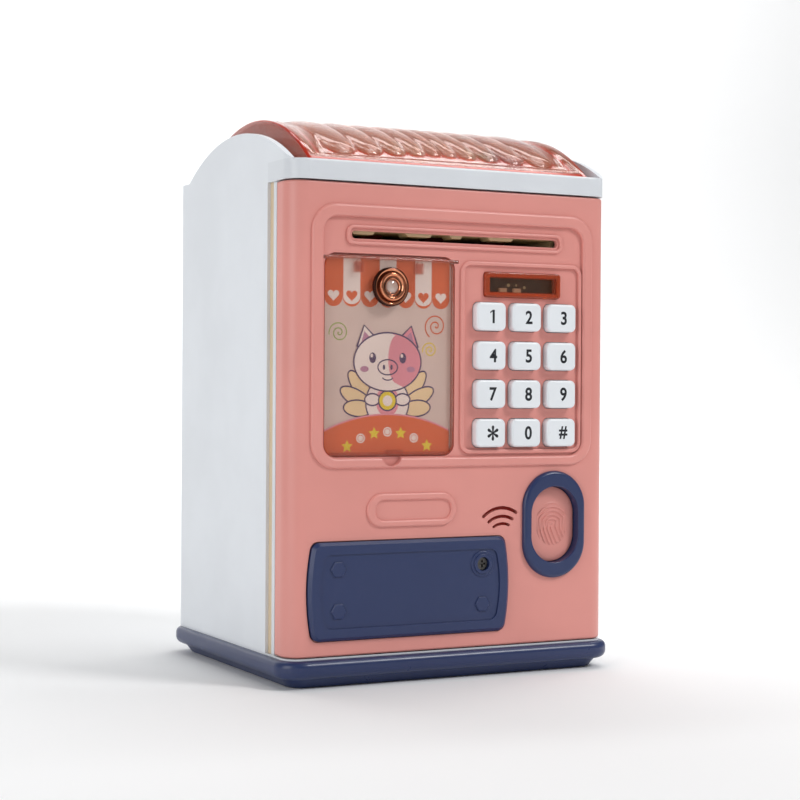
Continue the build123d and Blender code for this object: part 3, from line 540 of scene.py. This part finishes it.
def roof_wall(angle):
    """The end wall and its round corner at one angle, as (x, radius, mark) points."""
    foot = min((ROOF_DECK - ROOF_AXIS) / math.cos(angle), ROOF_RADIUS - ROOF_CORNER)
    top = ROOF_RADIUS - ROOF_CORNER
    wall = [(-ROOF_HALF_X, foot, 0.6), (-ROOF_HALF_X, (foot + top) / 2, 0.0),
            (-ROOF_HALF_X, top, 0.3)]
    for turn in (math.pi / 8, math.pi / 4, 3 * math.pi / 8):
        wall.append((-ROOF_HALF_X + ROOF_CORNER * (1 - math.cos(turn)),
                     top + ROOF_CORNER * math.sin(turn), 1.0))
    return wall


def roof_section(angle, spans, edges):
    """One cut across the roof, from the left wall's foot to the right one's."""
    size = sizes()
    arc_left = (ROOF_SWEEP - abs(angle)) * ROOF_RADIUS
    wall = roof_wall(angle)
    top = []
    for x in spans:
        crest = flute_height(x, arc_left - FLUTE_BORDER, edges)
        inset = min(ROOF_HALF_X - abs(x), arc_left)
        dish = smooth_step(inset, BEAD_INSET - 0.6 * MM, BEAD_INSET + 0.8 * MM)
        rise = crest * (size.flute_rise + size.flute_sink) - size.flute_sink
        top.append((x, ROOF_RADIUS + rise * dish, line_mark(x, arc_left, inset, crest)))
    return wall + top + [(-x, reach, mark) for x, reach, mark in reversed(wall)]


def roof_plastic():
    """Clear amber styrene, deep orange where its rims and folds pipe light to the eye."""
    skin = Finish("roof_clear", IOR=1.49, Transmission_Weight=0.45, Specular_IOR_Level=0.4)
    drawn = skin.node("ShaderNodeAttribute", {"attribute_name": LINE_MASK}, output="Fac")
    flow = skin.noise(34.0, 3.0)
    glint = skin.noise(60.0, 2.0)
    across = skin.axes(skin.place())[0]
    stops = ((0.1, linear(96, 62, 96)), (0.3, linear(196, 130, 90)),
             (0.52, linear(186, 160, 60)), (0.62, linear(120, 140, 70)),
             (0.76, linear(110, 104, 170)), (0.95, linear(196, 120, 96)))
    lamps = skin.node("ShaderNodeValToRGB", {"stops": stops},
                      {0: across / (2 * ROOF_HALF_X) + 0.5})
    base = skin.mix(flow, shade(rgba("roof"), 0.94), shade(rgba("roof"), 1.08))
    # painted lamp glow: noise patches take the colours of the lamps below, standing in for their
    # light seen through and reflected in the roof
    base = skin.mix(glint.between(0.5, 0.72) * 0.4, base, lamps)
    at_end = across.size().between(ROOF_HALF_X - 0.25 * MM, ROOF_HALF_X - 0.1 * MM)
    end_wall = at_end * (1 - drawn)
    base = skin.mix(end_wall, base, linear(190, 108, 92))
    skin.out("Base Color", skin.mix(drawn, base, rgba("roof_rim")))
    skin.out("Roughness", 0.05 + flow * 0.04)
    skin.out("Alpha", (0.64 + drawn * 0.33 + end_wall * 0.2 + (flow - 0.5) * 0.05).least(0.97))
    skin.bump(flow, 0.1, 0.2 * MM)
    return skin.material


class BANK_OT_roof(bpy.types.Operator):
    """Shape the clear fluted roof and finish what lies under it"""
    bl_idname = "bank.roof"
    bl_label = "Lighted Roof"

    def execute(self, context):
        size = sizes()
        edges = flute_edges(size.flute_count)
        rim_x = ROOF_HALF_X - ROOF_CORNER
        border = [-rim_x + (rim_x - FLUTE_FIELD) * step / BORDER_STEPS
                  for step in range(BORDER_STEPS)]
        field = [-FLUTE_FIELD + 2 * FLUTE_FIELD * step / FLUTE_STEPS
                 for step in range(FLUTE_STEPS + 1)]
        spans = border + field + [-x for x in reversed(border)]
        made = bmesh.new()
        drawn = made.verts.layers.float.new(LINE_MASK)
        lines = []
        for row in range(ARC_ROWS + 1):
            angle = ROOF_SWEEP * (2 * row / ARC_ROWS - 1)
            line = []
            for x, reach, mark in roof_section(angle, spans, edges):
                vertex = made.verts.new((x, ROOF_MIDDLE_Y + reach * math.sin(angle),
                                         ROOF_AXIS + reach * math.cos(angle)))
                vertex[drawn] = mark
                line.append(vertex)
            lines.append(line)
        join_lines(made, lines, len(lines[0]) - 1)
        bmesh.ops.remove_doubles(made, verts=made.verts[:], dist=0.01 * MM)
        cover = add_piece("roof_fluted_cover", made, "housing", (roof_plastic(),),
                          ("roof_cover",))
        modifier(cover, "SOLIDIFY", thickness=size.roof_thickness, offset=-1.0,
                 use_even_offset=False)
        dress(moulded_plastic("reflector_white", linear(240, 236, 228), 0.2, seam_shade=0.2),
              "roof_reflector")
        dress(circuit("light_board", linear(232, 232, 226)), "roof_light_board")
        dress(lamp_glass("roof_lamps", 45 * MM), "roof_leds")
        return {"FINISHED"}


# ------------------------- door
class BANK_OT_door(bpy.types.Operator):
    """Finish the door, its back cover and the display"""
    bl_idname = "bank.door"
    bl_label = "Door"

    def execute(self, context):
        dress(moulded_plastic("door_coral", rgba("coral"), 0.36, grain=0.16, wear=0.3, seam_shade=0.55),
              "door_panel")
        dress(moulded_plastic("module_cream", rgba("cream"), 0.5, grain=0.3),
              "door_back_cover", "feed_guide")
        dress(metal("cover_screw_steel", linear(150, 150, 154), 0.3), "door_cover_screws")
        window = tinted_clear("display_clear", linear(150, 96, 70), linear(236, 96, 50),
                              lambda skin: rim(skin, "display_window", 1.9 * MM), 0.2)
        dress(window, "display_window")
        dress(circuit("display_dark_board", linear(26, 44, 34)), "display_board")
        dress(ink("display_lamp", linear(226, 186, 150)), "display_leds")
        return {"FINISHED"}


# ------------------------- keys
FONT_BODY = 1.35              # a font's size over the height of its figures
FIGURE_NARROW = 0.92          # width beside the font's own
FIGURE_BOLD = 0.17 * MM       # added all round a stroke
INK_HALF = 0.01 * MM          # half of the figures' thickness


def add_flag(mesh, width):
    """The short slanting stroke at the head of a 1."""
    points = [vertex.co for vertex in mesh.vertices]
    left = min(point.x for point in points)
    top = max(point.z for point in points)
    front = min(point.y for point in points)
    reach = 1.0 * MM
    drop = reach * 0.75
    lap = 0.1 * MM
    corners = ((lap, 0.0), (-reach, -drop), (-reach, -drop - width), (lap, -width))
    made = bmesh.new()
    made.from_mesh(mesh)
    made.faces.new([made.verts.new((left + x, front, top + z)) for x, z in corners])
    made.to_mesh(mesh)
    made.free()


def figure_mesh(name):
    """The figure of one key, upright on the front of its cap."""
    size = sizes()
    curve = bpy.data.curves.new("figure_" + name, "FONT")
    curve.body, scale = KEY_MARKS.get(name, (name, 1.0))
    curve.size = size.digit_height * FONT_BODY * scale
    curve.align_x = "CENTER"
    curve.align_y = "CENTER"
    curve.extrude = INK_HALF
    curve.offset = FIGURE_BOLD
    curve.resolution_u = 6
    draft = add_object("draft", curve)
    bpy.context.view_layer.update()
    graph = bpy.context.evaluated_depsgraph_get()
    mesh = bpy.data.meshes.new_from_object(draft.evaluated_get(graph))
    bpy.data.objects.remove(draft)
    mesh.name = "figure_" + name
    across = [vertex.co.x for vertex in mesh.vertices]
    upward = [vertex.co.y for vertex in mesh.vertices]
    wide = (min(across) + max(across)) / 2
    tall = (min(upward) + max(upward)) / 2
    centre = middle("key_" + name)
    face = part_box("key_" + name)[0].y - INK_HALF / 2
    for vertex in mesh.vertices:
        spot = vertex.co
        vertex.co = Vector((centre.x + size.digit_shift + (spot.x - wide) * FIGURE_NARROW,
                            face - spot.z, centre.z + spot.y - tall))
    if name == "1":
        add_flag(mesh, size.stroke)
    return mesh


class BANK_OT_keys(bpy.types.Operator):
    """Finish the key caps and print their figures"""
    bl_idname = "bank.keys"
    bl_label = "Keypad"

    def execute(self, context):
        cap = moulded_plastic("key_white", rgba("keys"), 0.3, grain=0.08, wear=0.15, seam_shade=0.25)
        black = ink("key_ink", linear(24, 26, 34), 0.35)
        for name in KEYS:
            dress(cap, "key_" + name)
            mesh = figure_mesh(name)
            mesh.materials.clear()
            mesh.materials.append(black)
            figure = add_object("figure_" + name, mesh)
            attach(figure, f"key_{name}_cap")
        dress(rubber("mat_rubber", linear(150, 152, 156)), "keypad_mat")
        dress(circuit("keypad_circuit", linear(34, 92, 56)), "keypad_board")
        return {"FINISHED"}


# ------------------------- picture behind the window
INK_STEP = 0.004 * MM         # each print lies this far over the one before
HOOK_AT = 12.0 * MM           # the cover's two hooks, left and right of the lens
HOOK_DROP = 4.0 * MM          # from the cover's top
SNAP_AT = 2.2 * MM            # the cover's snap, right of the lens


class Artwork:
    """Flat printed shapes on the card. Sizes and places are in millimetres."""

    def __init__(self, inks):
        self.mesh = bmesh.new()
        self.inks = list(inks)
        self.level = 0

    def at(self, x, z):
        """A place on the card, counted from its middle."""
        centre = (CARD_LOW + CARD_HIGH) / 2
        return Vector((centre.x + x * MM, CARD_LOW.y - INK_STEP * (self.level + 1),
                       centre.z + z * MM))

    def fill(self, ink_name, points):
        corners = [self.mesh.verts.new(self.at(x, z)) for x, z in points]
        face = self.mesh.faces.new(corners)
        face.material_index = self.inks.index(ink_name)
        self.level += 1

    def line(self, ink_name, points, width, closed=False):
        """A ribbon of even width along some points."""
        count = len(points)
        sides = []
        for step, (x, z) in enumerate(points):
            before = points[(step - 1) % count] if closed or step else points[0]
            after = points[(step + 1) % count] if closed or step < count - 1 else points[-1]
            along = Vector((after[0] - before[0], after[1] - before[1])).normalized()
            reach = Vector((-along.y, along.x)) * width / 2
            sides.append((self.mesh.verts.new(self.at(x + reach.x, z + reach.y)),
                          self.mesh.verts.new(self.at(x - reach.x, z - reach.y))))
        pairs = list(zip(sides[:-1], sides[1:]))
        if closed:
            pairs.append((sides[-1], sides[0]))
        for first, second in pairs:
            face = self.mesh.faces.new((first[0], second[0], second[1], first[1]))
            face.material_index = self.inks.index(ink_name)
        self.level += 1


def oval_points(x, z, half_x, half_z, start=0.0, end=360.0, count=48):
    turns = [math.radians(start + (end - start) * step / count) for step in range(count + 1)]
    points = [(x + half_x * math.cos(turn), z + half_z * math.sin(turn)) for turn in turns]
    return points[:-1] if end - start >= 360 else points


def heart_points(x, z, size):
    points = []
    for step in range(36):
        turn = 2 * math.pi * step / 36
        wide = 16 * math.sin(turn) ** 3
        tall = (13 * math.cos(turn) - 5 * math.cos(2 * turn)
                - 2 * math.cos(3 * turn) - math.cos(4 * turn))
        points.append((x + wide * size / 32, z + tall * size / 32))
    return points


def star_points(x, z, size):
    points = []
    for step in range(10):
        turn = math.pi / 2 + math.pi * step / 5
        reach = size if step % 2 == 0 else size * 0.48
        points.append((x + reach * math.cos(turn), z + reach * math.sin(turn)))
    return points


def swirl_points(x, z, size, turns, start):
    points = []
    for step in range(60):
        share = step / 59
        angle = math.radians(start) + 2 * math.pi * turns * share
        points.append((x + size * share * math.cos(angle), z + size * share * math.sin(angle)))
    return points


def draw_awning(art, half_x, top):
    """Seven stripes with scalloped ends, a heart on each."""
    stripes = 7
    half = half_x / stripes
    reach = 14.4
    border = 0.25
    for stripe in range(stripes):
        x = -half_x + half * (2 * stripe + 1)
        end = oval_points(x, top - reach, half, half, 180, 360, 16)
        art.fill("orange", [(x + half, top), (x - half, top)] + end)
        if stripe % 2:
            inner = oval_points(x, top - reach, half - border, half - 0.9, 180, 360, 16)
            art.fill("pale", [(x + half - border, top), (x - half + border, top)] + inner)
        art.fill("orange" if stripe % 2 else "pale", heart_points(x, top - reach + 0.5, 4.4))


def draw_hill(art, half_x, low):
    """Orange hill with a pale crest, and a row of stars and coins."""
    crest = 14.2
    bulge = 5.8
    radius = (half_x ** 2 + bulge ** 2) / (2 * bulge)
    spread = math.degrees(math.asin(half_x / radius))
    arc = oval_points(0, low + crest - radius, radius, radius, 90 - spread, 90 + spread, 30)
    art.fill("orange", arc + [(-half_x, low), (half_x, low)])
    art.line("pink", arc, 0.55)
    for step in range(7):
        x = (step - 3) * 5.3
        z = low + 8.0 - 0.02 * x * x
        if step % 2:
            art.fill("pale", oval_points(x, z, 1.7, 1.7, count=28))
            art.line("orange", oval_points(x, z, 1.1, 1.1, count=28), 0.25, closed=True)
        else:
            art.fill("yellow", star_points(x, z, 2.3))


def draw_wings(art, x, z, stroke):
    """Three round feathers on each side."""
    for side in (-1, 1):
        for lean, reach, half in ((52, 9.0, 8.2), (28, 8.6, 7.2), (4, 7.2, 5.6)):
            turn = math.radians(lean)
            feather = []
            for px, pz in oval_points(0, 0, half, 2.9):
                along = px + reach
                feather.append((x + side * (4.5 + along * math.cos(turn) - pz * math.sin(turn)),
                                z + along * math.sin(turn) + pz * math.cos(turn)))
            art.fill("feather", feather)
            art.line("outline", feather, stroke, closed=True)


def draw_piggy(art, x, z, stroke):
    """A small round money pig of plain shapes, holding a coin."""
    draw_wings(art, x, z - 17.0, stroke)
    body = oval_points(x, z - 14.5, 8.6, 9.0)
    art.fill("pale", body)
    art.line("outline", body, stroke, closed=True)
    art.fill("pink", oval_points(x, z - 14.0, 4.6, 5.4))
    for side in (-1, 1):
        arm = oval_points(x + side * 6.0, z - 13.4, 3.0, 2.1)
        art.fill("pale", arm)
        art.line("outline", arm, stroke, closed=True)
    coin = oval_points(x, z - 13.8, 3.5, 3.5)
    art.fill("yellow", coin)
    art.line("outline", coin, stroke, closed=True)
    art.fill("pale", oval_points(x, z - 13.8, 1.9, 1.9))
    for side in (-1, 1):
        ear = [(x + side * 4.2, z + 8.0), (x + side * 9.4, z + 12.9), (x + side * 12.2, z + 5.2)]
        art.fill("pale" if side < 0 else "pink", ear)
        art.line("outline", ear, stroke * 1.25)
        art.fill("mauve", [(x + side * 6.6, z + 8.2), (x + side * 9.3, z + 10.8),
                           (x + side * 10.6, z + 6.4)])
    head = oval_points(x, z, 13.4, 10.4)
    art.fill("pale", head)
    patch = oval_points(x, z, 13.1, 10.1, -62, 82, 30)
    art.fill("pink", patch + oval_points(x + 3.6, z + 1.0, 3.4, 8.6, 100, 262, 20))
    art.line("outline", head, stroke, closed=True)
    for side in (-1, 1):
        art.fill("outline", oval_points(x + side * 6.0, z + 1.4, 1.35, 1.9, count=28))
        art.fill("pale", oval_points(x + side * 6.0 - 0.35, z + 2.2, 0.5, 0.7, count=20))
        art.fill("mauve", oval_points(x + side * 9.2, z - 2.6, 1.7, 1.05, count=24))
        art.fill("outline", oval_points(x + side * 1.5, z - 1.9, 0.5, 0.95, count=20))
    snout = oval_points(x, z - 1.9, 3.9, 2.7)
    art.line("outline", snout, stroke * 0.85, closed=True)
    art.line("outline", oval_points(x, z - 4.9, 2.3, 1.6, 205, 335, 14), stroke * 0.8)


class BANK_OT_picture(bpy.types.Operator):
    """Print the picture card and finish its clear cover"""
    bl_idname = "bank.picture"
    bl_label = "Picture"

    def execute(self, context):
        inks = ("orange", "pale", "outline", "pink", "mauve", "green", "yellow", "feather")
        art = Artwork(inks)
        half_x = (CARD_HIGH.x - CARD_LOW.x) / 2 / MM - 0.6
        top = (CARD_HIGH.z - CARD_LOW.z) / 2 / MM - 0.3
        draw_awning(art, half_x, top)
        art.line("green", swirl_points(-19.2, 7.9, 3.9, 2.2, 120), 0.4)
        art.line("orange", swirl_points(19.4, 10.8, 4.6, 2.1, 200), 0.45)
        art.line("yellow", swirl_points(17.0, 2.2, 3.0, 2.1, 160), 0.4)
        draw_piggy(art, 0.0, -2.2, sizes().stroke / MM)
        draw_hill(art, half_x, -top)
        printed = [ink("ink_" + name, rgba(name)) for name in inks]
        add_piece("card_print", art.mesh, "door", printed, smooth=False)
        dress(ink("card_ground", rgba("paper"), 0.45), "picture_card")

        hook_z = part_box("picture_cover")[1].z - HOOK_DROP

        def hooks_and_sides(skin):
            x, _, z = skin.axes(skin.place())
            near_hook = ((x - LENS_AT.x).size() - HOOK_AT).size().between(2.2 * MM, 1.2 * MM)
            hooks = near_hook * (z - hook_z).size().between(2.4 * MM, 1.4 * MM)
            snap = (x - LENS_AT.x - SNAP_AT).size().between(4.0 * MM, 3.0 * MM)
            snap = snap * z.between(CARD_LOW.z + 2.2 * MM, CARD_LOW.z + 1.4 * MM)
            border = rim(skin, "picture_cover", 1.2 * MM)
            return side_faces(skin).most(border * 0.75).most(hooks * 0.8).most(snap * 0.8)

        cover = tinted_clear("cover_clear", linear(226, 176, 154), linear(186, 68, 40),
                             hooks_and_sides, 0.16)
        dress(cover, "picture_cover")
        dress(ink("scan_lamp", linear(236, 230, 216)), "scan_led")
        return {"FINISHED"}


def plated_ring(colour, outer):
    """Polished copper plating, with painted shade on the outer step and in the grooves."""
    skin = Finish("lens_copper", Metallic=1.0)
    x, _, z = skin.axes(skin.place())
    across = x - LENS_AT.x
    up = z - LENS_AT.z
    reach = (across * across + up * up).power(0.5)
    step = reach.between((outer - 0.8) * MM, (outer - 0.55) * MM)
    groove = (reach - (outer - 3.7) * MM).size().between(0.45 * MM, 0.25 * MM)
    groove = groove.most((reach - (outer - 1.75) * MM).size().between(0.35 * MM, 0.15 * MM))
    spots = skin.noise(240.0, 3.0)
    # painted shade: dark colour on the outer step and in the grooves
    dark = step.most(groove * 0.85)
    plating = skin.mix(spots, shade(colour, 0.9), colour)
    skin.out("Base Color", skin.mix(dark, plating, linear(66, 40, 34)))
    skin.out("Roughness", 0.08 + spots * 0.08 + dark * 0.12)
    return skin.material


class BANK_OT_lens(bpy.types.Operator):
    """Turn the stepped lens ring and its glass"""
    bl_idname = "bank.lens"
    bl_label = "Lens"

    def execute(self, context):
        low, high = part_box("lens_ring")
        outer = (high.x - low.x) / 2 / MM
        deep = (high.y - low.y) / MM
        centre = Vector((LENS_AT.x, low.y, LENS_AT.z))
        profile = [(0.0, deep), (outer, deep), (outer, deep - 1.0), (outer - 0.15, deep - 1.5),
                   (outer - 0.7, deep - 1.75), (outer - 1.3, deep - 1.6),
                   (outer - 1.55, deep - 1.2), (outer - 1.8, deep - 1.7), (outer - 2.1, 0.3),
                   (outer - 2.5, 0.02), (outer - 3.1, 0.12), (outer - 3.4, 0.6),
                   (outer - 3.75, 0.75), (outer - 4.05, 0.5), (outer - 4.4, 0.9),
                   (outer - 4.5, 1.8), (0.0, 1.8)]
        ring = add_piece("lens_turned_ring", lathe(profile, centre, 96), "picture_flap",
                         (plated_ring(rgba("copper"), outer),),
                         ("lens_ring",))
        modifier(ring, "BEVEL", width=0.08 * MM, segments=2, limit_method="ANGLE",
                 angle_limit=math.radians(30))
        radius = outer - 4.45
        dome = [(radius * math.sin(turn), 1.7 - 1.25 * math.cos(turn))
                for turn in (0.0, 0.2, 0.42, 0.65, 0.88, 1.12, 1.35, math.pi / 2)]
        dome += [(radius, 1.75), (0.0, 1.75)]
        glass = Finish("lens_glass_clear", IOR=1.52, Transmission_Weight=0.35, Coat_Weight=0.6)
        bright = glass.noise(150.0, 2.0)
        glass.out("Base Color", glass.mix(bright.between(0.3, 0.7),
                                          linear(206, 168, 152), linear(244, 228, 218)))
        glass.out("Roughness", 0.05 + bright * 0.05)
        add_piece("lens_glass_dome", lathe(dome, centre, 64), "picture_flap",
                  (glass.material,), ("lens_glass",))
        return {"FINISHED"}


# ------------------------- fingerprint reader
LOOP_COS = math.cos(math.radians(24))       # how far the print's loop leans
LOOP_SIN = math.sin(math.radians(24))
LOOP_DROP = 1.6                             # mm, from the print's middle to the loop's core
PRINT_AT = (0.6, 0.1)                       # mm, the print's middle on the pad
PRINT_HALF = (7.2, 8.3)                     # mm, the oval that the ridges fill
PAD_FLANGE = 1.4 * MM                       # hidden behind the ring
PAD_DISH = 0.5 * MM
PAD_RINGS = 110
PAD_STEPS = 180


def ridge(x, z, size):
    """A loop print: arches over a core, with lines that run out to the lower right."""
    print_x = x / MM - PRINT_AT[0]
    print_z = z / MM - PRINT_AT[1]
    fill = 1 - math.hypot(print_x / PRINT_HALF[0], print_z / PRINT_HALF[1])
    print_z += LOOP_DROP
    core_x = print_x * LOOP_COS + print_z * LOOP_SIN
    core_z = print_z * LOOP_COS - print_x * LOOP_SIN
    reach = math.hypot(core_x, core_z) if core_z > 0 else abs(core_x)
    wave = math.cos(2 * math.pi * (reach * MM / size.ridge_pitch - 0.15))
    return size.ridge_height * smooth_step(wave, -0.3, 0.8) * smooth_step(fill, 0.0, 0.12)


class BANK_OT_fingerprint(bpy.types.Operator):
    """Shape the finger pad's ridges and finish its ring"""
    bl_idname = "bank.fingerprint"
    bl_label = "Fingerprint Reader"

    def execute(self, context):
        size = sizes()
        centre = (PAD_LOW + PAD_HIGH) / 2
        half_x = (PAD_HIGH.x - PAD_LOW.x) / 2 - PAD_FLANGE
        straight = (PAD_HIGH.z - PAD_LOW.z) / 2 - PAD_FLANGE - half_x
        front = PAD_LOW.y + 0.1 * MM
        made = bmesh.new()
        lines = []
        for ring in range(PAD_RINGS + 1):
            scale = ring / PAD_RINGS
            sunk = PAD_DISH * scale ** 10 + PAD_DISH * (1 - scale ** 2)
            line = []
            for step in range(PAD_STEPS if ring else 1):
                turn = 2 * math.pi * step / PAD_STEPS
                end = math.copysign(straight, math.sin(turn) + 1e-9)
                x = half_x * math.cos(turn) * scale
                z = (half_x * math.sin(turn) + end) * scale
                line.append(made.verts.new((centre.x + x, front + sunk - ridge(x, z, size),
                                            centre.z + z)))
            lines.append(line)
        back = [made.verts.new((v.co.x, PAD_HIGH.y, v.co.z)) for v in lines[-1]]
        lines.append(back)
        join_lines(made, lines, PAD_STEPS)
        made.faces.new(back)
        coral = moulded_plastic("pad_coral", rgba("coral"), 0.42, grain=0.12, wear=0.2, seam_shade=0.3)
        add_piece("finger_pad_ridged", made, "finger_pad", (coral,),
                  ("fingerprint_pad",))
        dress(moulded_plastic("ring_navy", rgba("navy"), 0.3, grain=0.12, wear=0.4),
              "fingerprint_ring")
        dress(circuit("switch_board", linear(34, 92, 56)), "fingerprint_switch")
        return {"FINISHED"}


# ------------------------- battery bay
class BANK_OT_battery(bpy.types.Operator):
    """Finish the battery cover, its screw, the bay and the cells"""
    bl_idname = "bank.battery"
    bl_label = "Battery Bay"

    def execute(self, context):
        dress(moulded_plastic("cover_navy", rgba("navy"), 0.34, grain=0.2, wear=0.45),
              "battery_cover")
        dress(metal("battery_screw_steel", linear(92, 90, 88), 0.3), "battery_screw")
        dress(moulded_plastic("bay_black", linear(40, 40, 46), 0.5, grain=0.3), "battery_box")
        dress(metal("contact_nickel", linear(198, 196, 188), 0.2), "battery_contacts")
        wrap = Finish("cell_wrap", Coat_Weight=0.4)
        from_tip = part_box("battery_cells")[1].x - wrap.axes(wrap.place())[0]
        rub = wrap.noise(200.0, 4.0)
        tip = from_tip.between(13.0 * MM, 12.8 * MM)
        cap = from_tip.between(1.9 * MM, 1.7 * MM)
        base = wrap.mix(tip, linear(46, 60, 74), linear(206, 124, 62))
        wrap.out("Base Color", wrap.mix(cap, base, linear(200, 200, 198)))
        wrap.out("Metallic", 0.25 + cap * 0.75)
        wrap.out("Roughness", 0.28 + rub * 0.14)
        dress(wrap.material, "battery_cells")
        return {"FINISHED"}


# ------------------------- inner works
class BANK_OT_works(bpy.types.Operator):
    """Finish the note feeder, the lock, the boards and the speaker"""
    bl_idname = "bank.works"
    bl_label = "Inner Works"

    def execute(self, context):
        dress(metal("shaft_steel", linear(184, 186, 190), 0.18, (0.05, 1.0, 1.0)),
              "drive_shaft", "nip_roller", "latch_bolt", "feed_motor")
        dress(metal("solenoid_zinc", linear(160, 162, 160), 0.34), "lock_solenoid")
        # painted shade: the tyres are dark red so that, seen through the note slot, they pass for
        # the door's coral in shade
        dress(rubber("tyre_rubber", linear(120, 34, 28)), "drive_tyres")
        dress(moulded_plastic("gear_acetal", linear(232, 230, 222), 0.38, grain=0.1),
              "drive_gear", "idler_gear", "motor_pinion")
        dress(circuit("main_circuit", linear(30, 88, 54)), "main_board")
        dress(moulded_plastic("chip_black", linear(30, 30, 34), 0.45, grain=0.2), "board_parts")
        # painted light: a dark red colour and a dim red glow on the speaker stand in for light
        # through the door's thin coral wall behind the slots
        speaker_glow_skin = moulded_plastic("speaker_cloth", linear(150, 54, 44), 0.6, grain=0.4)
        glow = speaker_glow_skin.node_tree.nodes["Principled BSDF"].inputs
        glow["Emission Color"].default_value = linear(150, 46, 40)
        glow["Emission Strength"].default_value = 0.25
        dress(speaker_glow_skin, "speaker")
        return {"FINISHED"}


# ------------------------- stage
FLOOR_HALF = 3.0          # metres, to the left and right
FLOOR_FRONT = -2.4
WALL_FOOT = 1.6           # where the floor starts to curve up
WALL_CURVE = 0.6          # radius of that curve
WALL_TOP = 3.0
AIM = (0.0, 0.0, 0.1)     # what the lights on the bank point at
CAMERA_AT = (-0.31668, -0.62389, 0.10564)
CAMERA_LENS = 81.16       # millimetres, on a sensor 36 mm wide
LOOK_YAW = 27.309         # degrees to the right of straight ahead
LOOK_DOWN = 0.438
LOOK_ROLL = 0.358


def area_light(name, place, target, wide, tall, power):
    lamp = bpy.data.lights.new(name, "AREA")
    lamp.shape = "RECTANGLE"
    lamp.size = wide
    lamp.size_y = tall
    lamp.energy = power
    holder = add_object(name, lamp)
    holder.location = place
    holder.rotation_euler = (Vector(target) - Vector(place)).to_track_quat("-Z", "Y").to_euler()


def studio_floor():
    """Floor and back wall in one sheet with a round sweep between them."""
    turns = [math.pi / 2 * step / 12 for step in range(13)]
    sweep = [(WALL_FOOT + WALL_CURVE * math.sin(turn), WALL_CURVE * (1 - math.cos(turn)))
             for turn in turns]
    outline = [(FLOOR_FRONT, 0.0)] + sweep + [(WALL_FOOT + WALL_CURVE, WALL_TOP)]
    floor = bmesh.new()
    left = [floor.verts.new((-FLOOR_HALF, y, z)) for y, z in outline]
    right = [floor.verts.new((FLOOR_HALF, y, z)) for y, z in outline]
    join_lines(floor, (right, left), len(outline) - 1)
    paper = Finish("studio_paper")
    paper.out("Base Color", (0.93, 0.93, 0.93, 1.0))
    paper.out("Roughness", 0.8 + paper.noise(4.0) * 0.1)
    sheet = add_mesh("studio_floor", floor, (paper.material,))


def front_camera():
    """A long lens at the height of the bank's middle, to the left of its front."""
    camera = bpy.data.cameras.new("front_camera")
    camera.lens = CAMERA_LENS
    camera.sensor_width = 36.0
    camera.clip_start = 0.01
    yaw, down, roll = (math.radians(turn) for turn in (LOOK_YAW, LOOK_DOWN, LOOK_ROLL))
    forward = Vector((math.sin(yaw) * math.cos(down), math.cos(yaw) * math.cos(down),
                      -math.sin(down)))
    level = Vector((math.cos(yaw), -math.sin(yaw), 0.0))
    upward = level.cross(forward)
    right = level * math.cos(roll) + upward * math.sin(roll)
    upright = upward * math.cos(roll) - level * math.sin(roll)
    holder = add_object("front_camera", camera)
    turned = Matrix((right, upright, -forward)).transposed()
    holder.matrix_world = Matrix.Translation(CAMERA_AT) @ turned.to_4x4()
    return holder


class BANK_OT_stage(bpy.types.Operator):
    """Set the floor, the soft lights and the camera"""
    bl_idname = "bank.stage"
    bl_label = "Stage"

    def execute(self, context):
        studio_floor()
        air = bpy.data.worlds.new("studio_air")
        air.use_nodes = True
        background = air.node_tree.nodes["Background"]
        background.inputs["Color"].default_value = (0.96, 0.98, 1.0, 1.0)
        background.inputs["Strength"].default_value = 0.26
        context.scene.world = air
        area_light("right_light", (0.9, -1.1, 1.3), AIM, 0.45, 0.45, 14.5)
        area_light("left_light", (-1.4, -0.5, 0.5), AIM, 0.9, 1.1, 8.0)
        area_light("top_light", (0.6, 0.05, 1.35), AIM, 0.7, 0.4, 3.6)
        area_light("backdrop_light", (0.6, 0.9, 1.9), (0.9, 2.2, 0.5), 2.6, 0.8, 42.0)
        context.scene.camera = front_camera()
        context.scene.view_settings.view_transform = "Standard"
        return {"FINISHED"}


OPERATORS = (BANK_OT_housing, BANK_OT_roof, BANK_OT_door, BANK_OT_keys, BANK_OT_picture,
             BANK_OT_lens, BANK_OT_fingerprint, BANK_OT_battery, BANK_OT_works, BANK_OT_stage)


class BANK_PT_panel(bpy.types.Panel):
    """Lists the operators in making order"""
    bl_idname = "BANK_PT_panel"
    bl_label = "Toy Cash Machine Bank"
    bl_space_type = "VIEW_3D"
    bl_region_type = "UI"
    bl_category = "Cash Bank"

    def draw(self, context):
        for operator in OPERATORS:
            self.layout.operator(operator.bl_idname)
        for group in (context.scene.bank_sizes, context.scene.bank_colours):
            for name in group.bl_rna.properties.keys():
                if name not in ("rna_type", "name"):
                    self.layout.prop(group, name)


CLASSES = (BankColours, BankSizes) + OPERATORS + (BANK_PT_panel,)


def register():
    for item in CLASSES:
        bpy.utils.register_class(item)
    bpy.types.Scene.bank_colours = bpy.props.PointerProperty(type=BankColours)
    bpy.types.Scene.bank_sizes = bpy.props.PointerProperty(type=BankSizes)


def unregister():
    del bpy.types.Scene.bank_sizes
    del bpy.types.Scene.bank_colours
    for item in reversed(CLASSES):
        bpy.utils.unregister_class(item)


def main():
    register()
    for operator in OPERATORS:
        group, name = operator.bl_idname.split(".")
        getattr(getattr(bpy.ops, group), name)()


if __name__ == "__main__":
    main()
